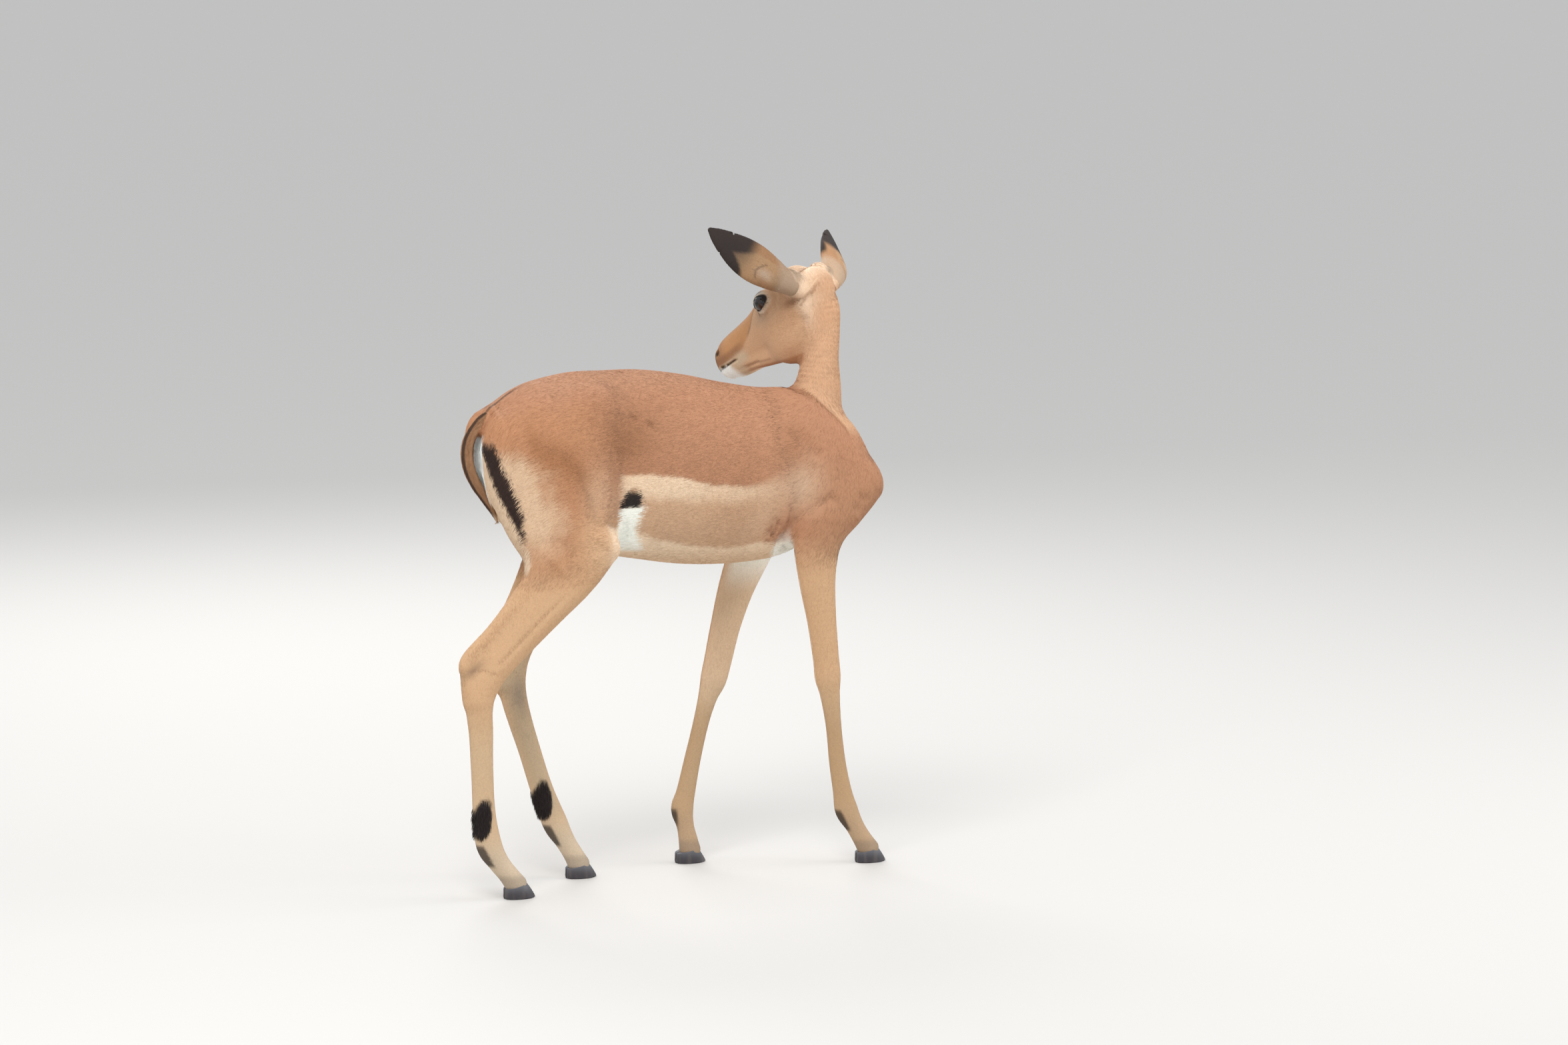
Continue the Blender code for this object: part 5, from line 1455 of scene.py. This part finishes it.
# piece: tufts, length, width, lift in degrees
COATS = {
    "rump": (44000, 0.0115, 0.0015, 3.4),
    "flank": (47000, 0.0120, 0.0015, 3.4),
    "ribs": (38000, 0.0120, 0.0015, 3.4),
    "shoulder": (40000, 0.0110, 0.0015, 3.4),
    "neck": (16000, 0.0095, 0.0013, 4.0),
    "head": (47000, 0.0052, 0.0009, 5.0),
    "right_fore": (16000, 0.0070, 0.0011, 4.2),
    "left_fore": (16000, 0.0070, 0.0011, 4.2),
    "right_hind": (22000, 0.0072, 0.0012, 4.2),
    "left_hind": (22000, 0.0072, 0.0012, 4.2),
    "ear_right": (13000, 0.0052, 0.0009, 4.5),
    "ear_left": (13000, 0.0052, 0.0009, 4.5),
    "tail": (9000, 0.0120, 0.0012, 6.0),
}


def lie_of_hair(points, region):
    """Which way the hair points, before it is laid on the skin."""
    x, y, z = points.T
    if region == "head":
        back = ramp(head_place(points)[0], -0.10, -0.03)[:, None]
        return -NOSE * back - CROWN * (0.25 + (1 - back))
    if region.startswith("ear"):
        side = side_of(region)
        return np.tile(head_direction(*EAR_WAY[side]), (len(points), 1))
    if region == "tail":
        rows = np.array(TAIL)[:, :3]
        slope = np.gradient(rows, axis=0)
        order = np.argsort(rows[:, 2])
        return np.stack([np.interp(z, rows[order, 2], slope[order, a]) for a in range(3)], axis=1)
    if region == "neck":
        return np.tile((0.05, -0.05, -1.0), (len(points), 1))
    if region in FEET:
        return np.tile((-0.12, 0.0, -1.0), (len(points), 1))
    side = ramp(0.86 - z, 0.0, 0.06)
    haunch = fall(x, -0.30, -0.18)
    buttock = fall(x, -0.36, -0.31)
    chest = ramp(x, 0.16, 0.28)
    flow = np.zeros((len(points), 3))
    flow[:, 0] = -1 + 0.75 * chest + 0.25 * haunch * fall(z, 0.60, 0.74) + 0.45 * buttock
    flow[:, 2] = -side * (0.20 + 0.30 * haunch + 0.45 * buttock + 1.0 * chest
                          + 0.8 * fall(z, 0.54, 0.62) * (haunch + chest))
    return flow


def corner_normals(points, faces):
    """Outward unit normal at each point of a mesh of quads."""
    across = np.cross(points[faces[:, 2]] - points[faces[:, 0]], points[faces[:, 3]] - points[faces[:, 1]])
    total = np.zeros_like(points)
    for corner in range(4):
        np.add.at(total, faces[:, corner], across)
    for _ in range(3):
        shared = total / (np.linalg.norm(total, axis=1)[:, None] + 1e-12)
        middle = shared[faces].mean(axis=1)
        total = np.zeros_like(points)
        for corner in range(4):
            np.add.at(total, faces[:, corner], middle)
    return total / (np.linalg.norm(total, axis=1)[:, None] + 1e-12)


def roots_on(points, faces, normals, number, luck):
    """Random places spread evenly over quads, with their normals."""
    first = faces[:, [0, 1, 2]]
    second = faces[:, [0, 2, 3]]
    triangles = np.vstack([first, second])
    a, b, c = (points[triangles[:, i]] for i in range(3))
    area = np.linalg.norm(np.cross(b - a, c - a), axis=1)
    chosen = luck.choice(len(triangles), number, p=area / area.sum())
    u, v = luck.random(number), luck.random(number)
    over = u + v > 1
    u[over], v[over] = 1 - u[over], 1 - v[over]
    weights = np.stack([1 - u - v, u, v], axis=1)
    corners = triangles[chosen]
    place = np.einsum("ij,ijk->ik", weights, points[corners])
    outward = np.einsum("ij,ijk->ik", weights, normals[corners])
    return place, outward / np.linalg.norm(outward, axis=1)[:, None], corners


MOST_BEND = 25.0     # strongest curve that tufts follow, per metre


def bend_along(flow, points, normals, corners):
    """How strongly the skin curves away from the hair's direction, per metre."""
    sides = points[corners[:, 1:]] - points[corners[:, :1]]
    turns = normals[corners[:, 1:]] - normals[corners[:, :1]]
    inner = np.einsum("nik,njk->nij", sides, sides) + 1e-12 * np.eye(2)
    shares = np.linalg.solve(inner, np.einsum("nik,nk->ni", sides, flow)[:, :, None])[:, :, 0]
    return np.clip(np.einsum("ni,nik,nk->n", shares, turns, flow), -MOST_BEND, MOST_BEND)


def turn_share(aside, ahead):
    """Share of a full turn around a middle line, from 0 to 1."""
    return 0.5 + np.arctan2(aside, ahead) / math.tau


def unwrap(points, region):
    """Place on a flat sheet that the region's own shape unrolls to."""
    if region.startswith("ear"):
        share, across, out = ear_place(points, side_of(region))
        sheet = np.stack([0.25 + across * 6, np.clip(share, 0, 1)], axis=1)
        sheet[:, 0] += np.where(out > -0.008, 0.5, 0.0)
        return sheet
    if region == "head":
        ahead, aside, above = head_place(points)
        return np.stack([(ahead + 0.13) / 0.32, turn_share(aside, above + 0.035)], axis=1)
    x, y, z = points.T
    if region == "tail":
        return np.stack([(z - 0.60) / 0.22, turn_share(y, x - along_path(z, TAIL_LINE))], axis=1)
    if region == "neck":
        return np.stack([(z - 0.76) / 0.26, turn_share(y - 0.02, x - 0.27)], axis=1)
    if region in FEET:
        fore, aside = leg_offset(points, region)
        return np.stack([z / 0.56, turn_share(aside, fore)], axis=1)
    start = {"rump": -0.42, "flank": -0.22, "ribs": -0.05, "shoulder": 0.10}[region]
    return np.stack([(x - start) / 0.34, turn_share(y, z - 0.70)], axis=1)


COAT_SEED = 20
SWING = 0.06         # how far single tufts turn from the lie of the hair, in radians
PATCH_SWING = 0.08   # the same for patches of tufts
ROOT_SINK = 0.0003   # how far the roots of the tufts lie under the skin
RIDGE_HEIGHT = 0.00012
RIDGE_SHARE = 0.45   # how far along a tuft its ridge is highest
TUFT_SHADES = np.array([0.96, 0.96, 1.0, 1.04])      # left, right, ridge and tip
PATCH = 0.003        # side of a tuft's patch on the sheet
PATCH_CORNERS = np.array([(-0.5, -0.5), (0.5, -0.5), (0.0, -0.1), (0.0, 0.5)]) * PATCH
TUFT_FACES = np.array([(0, 1, 2), (1, 3, 2), (3, 0, 2), (0, 3, 1)])


def length_share(points, region):
    """How long the tufts are at a place, compared with the rest of their piece."""
    z = points[:, 2]
    if region in FEET:
        share = 0.55 + 0.45 * ramp(z, 0.10, 0.30)
        if "hind" in region:
            share += 0.9 * fall(gland_place(points, region), 0.6, 1.1)
        return share
    if region == "head":
        return 1.25 - 0.60 * ramp(head_place(points)[0], -0.05, 0.10)
    if region.startswith("ear"):
        return 1.1 - 0.5 * ramp(ear_place(points, side_of(region))[0], 0.3, 1.0)
    if region == "tail":
        return 1.0 - 0.3 * fall(z, 0.63, 0.67)
    return np.ones(len(points))


def lift_share(points, region):
    """How steeply the tufts stand at a place, compared with the rest of their piece."""
    if region == "head":
        ahead, aside, above = head_place(points)
        poll = hill(ahead, -0.085, -0.035, 0.012) * ramp(above, 0.000, 0.015)
        return 1 + 2.0 * poll * (np.abs(aside) < 0.05)
    if region in ("flank", "rump"):
        return 1 + 2.5 * ruffle(points)
    if region.endswith("hind"):
        return 1 + 5.0 * fall(gland_place(points, region), 0.6, 1.1)
    return np.ones(len(points))


def bare(points, region):
    """Places where a piece has no tufts: eye openings, nose, claws and the roots of the ears."""
    hidden = np.zeros(len(points), dtype=bool)
    if region == "head":
        for side in (RIGHT, LEFT):
            gap, out = eye_gap(points, side)
            hidden |= (gap < 1.12) & (out > 0)
            root = ear_root(side)
            way = head_direction(*EAR_WAY[side])
            hidden |= (points - root) @ way > EAR_STUMP
        ahead, aside, above = head_place(points)
        hidden |= (ahead > 0.160) & (np.abs(aside) < 0.012) & (above > -0.046) & (above < -0.022)
    if region in FEET:
        hidden |= points[:, 2] < 0.020
    if region.startswith("ear"):
        hidden |= ear_place(points, side_of(region))[0] < 0.10
    return hidden


def tufts(points, faces, normals, region, number, luck):
    """Corners, colours and sheet places of a piece of coat."""
    length, width, lift = COATS[region][1:]
    roots, outward, corners = roots_on(points, faces, normals, number, luck)
    keep = ~bare(roots, region)
    roots, outward, corners = roots[keep], outward[keep], corners[keep]
    number = len(roots)
    flow = lie_of_hair(roots, region)
    flow -= outward * dot(flow, outward)[:, None]
    flow /= np.linalg.norm(flow, axis=1)[:, None] + 1e-9
    across = np.cross(outward, flow)
    swing = SWING * luck.normal(size=number) + PATCH_SWING * ripple(roots, 0.05, 11)
    flow = flow * np.cos(swing)[:, None] + across * np.sin(swing)[:, None]
    across = np.cross(outward, flow)
    bend = bend_along(flow, points, normals, corners)
    reach = length * luck.uniform(0.7, 1.2, number) * length_share(roots, region)
    rise = np.sin(np.radians(lift) * luck.uniform(0.7, 1.2, number) * lift_share(roots, region)) * reach
    half = 0.5 * width * luck.uniform(0.75, 1.25, number) * length_share(roots, region)
    start = roots - outward * ROOT_SINK
    left = start - across * half[:, None]
    right = start + across * half[:, None]
    middle = RIDGE_SHARE * reach
    crest = 0.5 * rise + RIDGE_HEIGHT - 0.5 * bend * middle ** 2
    ridge = start + flow * middle[:, None] + outward * crest[:, None]
    tip = start + flow * reach[:, None] + outward * (rise - 0.5 * bend * reach ** 2)[:, None]
    shape = np.stack([left, right, ridge, tip], axis=1)
    kind = region if region in KINDS else "body"
    base = markings(roots, kind)
    bright = luck.uniform(0.90, 1.07, number) * (1 + 0.035 * ripple(roots * (0.35, 1.0, 1.0), 0.010, 12))
    colours = np.clip(base[:, None, :] * bright[:, None, None] * TUFT_SHADES[None, :, None], 0, 1)
    sheet = unwrap(roots, region)
    sheet = np.clip(sheet, 2 * PATCH, 1 - 2 * PATCH)[:, None, :] + PATCH_CORNERS[None]
    return shape.reshape(-1, 3), colours.reshape(-1, 3), sheet


def make_coat(parts, material):
    luck = np.random.default_rng(COAT_SEED)
    for (points, quads), kind in zip(parts, KINDS):
        normals = corner_normals(points, quads)
        regions = region_of(points[quads].mean(axis=1), kind)
        for region in COATS:
            mine = quads[regions == region]
            if len(mine) == 0:
                continue
            number = COATS[region][0] // 1
            corners, colours, sheet = tufts(points, mine, normals, region, number, luck)
            faces = (np.arange(len(corners) // 4)[:, None, None] * 4 + TUFT_FACES).reshape(-1, 3)
            piece = coloured_mesh("coat_" + region, corners, faces, colours, smooth=False)
            layer = piece.data.uv_layers.new(name="OFBake")
            layer.data.foreach_set("uv", sheet[:, TUFT_FACES.ravel(), :].astype(np.float32).ravel())
            piece.data.materials.append(material)
            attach(piece, "root")


# ---------------------------------------------------------------- materials
HAIR_GRAIN = 420.0            # scale of the fine light and dark in the hair's colour
BUMP_GRAIN = 700.0
BUMP_HEIGHT = 0.001


def noise(tree, scale):
    made = tree.nodes.new("ShaderNodeTexNoise")
    made.inputs["Scale"].default_value = scale
    made.inputs["Detail"].default_value = 3.0
    where = tree.nodes.new("ShaderNodeTexCoord")
    tree.links.new(where.outputs["Object"], made.inputs["Vector"])
    return made


def hair_material(name, roughness, bump, dark=0.92, bright=1.06):
    """Colour from the markings, broken up like short hair."""
    made = bpy.data.materials.new(name)
    made.use_nodes = True
    tree = made.node_tree
    shader = tree.nodes["Principled BSDF"]
    shader.inputs["Roughness"].default_value = roughness
    shader.inputs["Specular IOR Level"].default_value = 0.25
    marks = tree.nodes.new("ShaderNodeAttribute")
    marks.attribute_name = "markings"
    fine = noise(tree, HAIR_GRAIN)
    spread = tree.nodes.new("ShaderNodeMapRange")
    spread.inputs["To Min"].default_value = dark
    spread.inputs["To Max"].default_value = bright
    spread.inputs["From Min"].default_value = 0.3
    spread.inputs["From Max"].default_value = 0.7
    tree.links.new(fine.outputs["Fac"], spread.inputs["Value"])
    mixed = tree.nodes.new("ShaderNodeVectorMath")
    mixed.operation = "SCALE"
    tree.links.new(marks.outputs["Color"], mixed.inputs[0])
    tree.links.new(spread.outputs["Result"], mixed.inputs["Scale"])
    tree.links.new(mixed.outputs["Vector"], shader.inputs["Base Color"])
    if bump:
        lift = tree.nodes.new("ShaderNodeBump")
        lift.inputs["Strength"].default_value = bump
        lift.inputs["Distance"].default_value = BUMP_HEIGHT
        tree.links.new(noise(tree, BUMP_GRAIN).outputs["Fac"], lift.inputs["Height"])
        tree.links.new(lift.outputs["Normal"], shader.inputs["Normal"])
    return made


def plain_material(name, colour, roughness):
    made = bpy.data.materials.new(name)
    made.use_nodes = True
    shader = made.node_tree.nodes["Principled BSDF"]
    shader.inputs["Base Color"].default_value = (*colour, 1)
    shader.inputs["Roughness"].default_value = roughness
    return made


def marked_material(name, roughness, specular):
    """Smooth material that takes its colour from the markings."""
    made = plain_material(name, (0.1, 0.1, 0.1), roughness)
    shader = made.node_tree.nodes["Principled BSDF"]
    shader.inputs["Specular IOR Level"].default_value = specular
    marks = made.node_tree.nodes.new("ShaderNodeAttribute")
    marks.attribute_name = "markings"
    made.node_tree.links.new(marks.outputs["Color"], shader.inputs["Base Color"])
    return made


# ---------------------------------------------------------------- eyes and hooves
def triangles_of(maker):
    """Points and triangles of a finished bmesh."""
    bmesh.ops.triangulate(maker, faces=maker.faces)
    maker.verts.index_update()
    points = np.array([corner.co for corner in maker.verts])
    faces = np.array([[corner.index for corner in face.verts] for face in maker.faces])
    maker.free()
    return points, faces


def make_eye(name, side, material):
    """Wet ball with a dark brown iris, painted light on its lower part, and a wide level pupil."""
    maker = bmesh.new()
    bmesh.ops.create_icosphere(maker, subdivisions=5, radius=EYE_RADIUS * 0.995)
    points, faces = triangles_of(maker)
    outward, fore, up = eye_axes(side)
    along, aside, high = (points @ way / EYE_RADIUS for way in (outward, fore, up))
    spread = np.hypot(aside, high)
    ball = Layers(tone(30, 22, 20), points)
    ball(tone(40, 29, 24), fall(spread, 0.66, 0.74) * (along > 0))
    # painted light on the lower part of the iris
    iris_painted_light = hill(spread, 0.40, 0.60, 0.08) * (along > 0) * ramp(-high, -0.2, 0.4)
    ball(tone(66, 44, 30), 0.5 * iris_painted_light)
    pupil = fall((aside / 0.46) ** 2 + (high / 0.22) ** 2, 0.85, 1.10) * (along > 0)
    ball(tone(10, 9, 10), pupil)
    eye = coloured_mesh(name + "_ball", points + eye_middle(side), faces, ball.colours)
    eye.data.materials.append(material)
    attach(eye, "root")
    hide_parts(name)


HOOF_ROWS = [  # share of the height, shares of length and width, shift to the rear
    (0.0, 0.95, 0.90, 0.0),
    (0.04, 0.995, 0.985, 0.0),
    (0.08, 1.0, 1.0, 0.0),
    (0.30, 0.945, 0.995, 0.002),
    (0.55, 0.86, 0.98, 0.004),
    (0.80, 0.775, 0.965, 0.0062),
    (1.0, 0.70, 0.95, 0.008),
]
RING_DEPTH = 0.010
RING_RATE = 44
CLAW_STEPS = 64


def make_claw(leg, name, inner_side, material):
    """One claw with growth rings, from the sole to the sloping coronet."""
    x, y = FEET[leg]
    middle, up = coronet_frame(leg)
    maker = bmesh.new()
    rings = []
    for height, length, width, back in spline(HOOF_ROWS, 4):
        swell = 1 + RING_DEPTH * math.sin(height * RING_RATE) * (height > 0.08)
        half_length = HOOF_LENGTH / 2 * length * swell
        ring = []
        for step in range(CLAW_STEPS):
            angle = math.tau * step / CLAW_STEPS
            ahead, aside = claw_outline(angle, half_length, CLAW_WIDTH * width, inner_side)
            px = x + ahead - back
            top = middle[2] - (px - middle[0]) * up[0] / up[2]
            ring.append(maker.verts.new((px, y + aside, max(height, 0.0) * top)))
        rings.append(ring)
    for low, high in zip(rings, rings[1:]):
        for i in range(CLAW_STEPS):
            j = (i + 1) % CLAW_STEPS
            maker.faces.new((low[i], low[j], high[j], high[i]))
    maker.faces.new(rings[0][::-1])
    maker.faces.new(rings[-1])
    bmesh.ops.recalc_face_normals(maker, faces=maker.faces)
    maker.verts.index_update()
    points, faces = triangles_of(maker)
    horn = Layers(tone(62, 58, 62), points)
    horn(tone(96, 97, 102), ramp(points[:, 2], 0.006, 0.026))
    streak = ripple(points * (1.0, 1.0, 0.12), 0.004, 31)
    horn(tone(112, 104, 98), 0.25 * np.clip(streak, 0, 1))
    made = coloured_mesh(name + "_horn", points, faces, horn.colours)
    made.data.materials.append(material)
    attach(made, "root")
    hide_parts(name)


def make_eyes_and_hooves():
    wet = marked_material("eye_wet", 0.06, 0.5)
    make_eye("eye_right", RIGHT, wet)
    make_eye("eye_left", LEFT, wet)
    horn = marked_material("hoof_worn", 0.5, 0.35)
    for leg, (_, y) in FEET.items():
        outer = RIGHT if y < 0 else LEFT
        make_claw(leg, leg + "_claw_outer", outer, horn)
        make_claw(leg, leg + "_claw_inner", -outer, horn)


# ---------------------------------------------------------------- building the animal
def flesh_nodes():
    return [part["node"] for part in frame["record"]["subparts"]
            if "claw" not in part["node"] and "eye" not in part["node"]]


def make_skin(parts):
    points, faces, colours, start = [], [], [], 0
    for (places, quads), kind in zip(parts, KINDS):
        points.append(places)
        faces.append(quads + start)
        colours.append(markings(places, kind))
        start += len(places)
    skin = coloured_mesh("skin", np.vstack(points), np.vstack(faces), np.vstack(colours))
    skin.data.materials.append(hair_material("skin_hair", 0.72, 0.35))
    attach(skin, "root")
    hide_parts(*flesh_nodes())


CAMERA_PLACE = (-4.822, -9.887, 2.14)
CAMERA_YAW = 26.9465
CAMERA_PITCH = -7.938
CAMERA_LENS = 150.5
SKY_TONE = (0.93, 0.96, 1.0, 1)
SKY_STRENGTH = 0.88
LIGHT_AIM = (0, 0, 0.6)
LIGHTS = (    # name, place, size, power
    ("key", (-2.2, -2.6, 4.2), 2.2, 145.0),
    ("fill", (3.4, -1.6, 2.0), 2.5, 46.0),
    ("back", (0.5, 3.2, 2.8), 2.2, 64.0),
)


def camera_and_light():
    camera = bpy.data.objects.new("camera", bpy.data.cameras.new("camera"))
    bpy.context.scene.collection.objects.link(camera)
    bpy.context.scene.camera = camera
    camera.data.sensor_width = 36.0
    camera.data.lens = CAMERA_LENS
    camera.data.clip_end = 100
    camera.location = Vector(CAMERA_PLACE) + Vector(CENTRE_SHIFT)
    yaw, pitch = math.radians(CAMERA_YAW), math.radians(CAMERA_PITCH)
    ahead = Vector((math.sin(yaw) * math.cos(pitch), math.cos(yaw) * math.cos(pitch), math.sin(pitch)))
    camera.rotation_mode = "QUATERNION"
    camera.rotation_quaternion = ahead.to_track_quat("-Z", "Y")

    world = bpy.data.worlds.new("world")
    bpy.context.scene.world = world
    world.use_nodes = True
    sky = world.node_tree.nodes["Background"]
    sky.inputs["Color"].default_value = SKY_TONE
    sky.inputs["Strength"].default_value = SKY_STRENGTH
    for name, place, size, power in LIGHTS:
        data = bpy.data.lights.new(name, "AREA")
        data.size = size
        data.energy = power
        made = bpy.data.objects.new(name, data)
        bpy.context.scene.collection.objects.link(made)
        made.location = place
        aim = Vector(LIGHT_AIM) - made.location
        made.rotation_mode = "QUATERNION"
        made.rotation_quaternion = aim.to_track_quat("-Z", "Y")
    bpy.context.scene.view_settings.view_transform = "Standard"


FLOOR_REACH = 60


def floor():
    mesh = bpy.data.meshes.new("floor")
    a = FLOOR_REACH
    mesh.from_pydata([(-a, -a, 0), (a, -a, 0), (a, a, 0), (-a, a, 0)], [], [(0, 1, 2, 3)])
    made = bpy.data.objects.new("floor", mesh)
    bpy.context.scene.collection.objects.link(made)
    mesh.materials.append(plain_material("floor_pale", (0.62, 0.60, 0.57), 0.9))


net = skin_net()
make_skin(net)
make_coat(net, hair_material("coat_hair", 0.72, 0.0, 0.96, 1.03))
make_eyes_and_hooves()
floor()
camera_and_light()
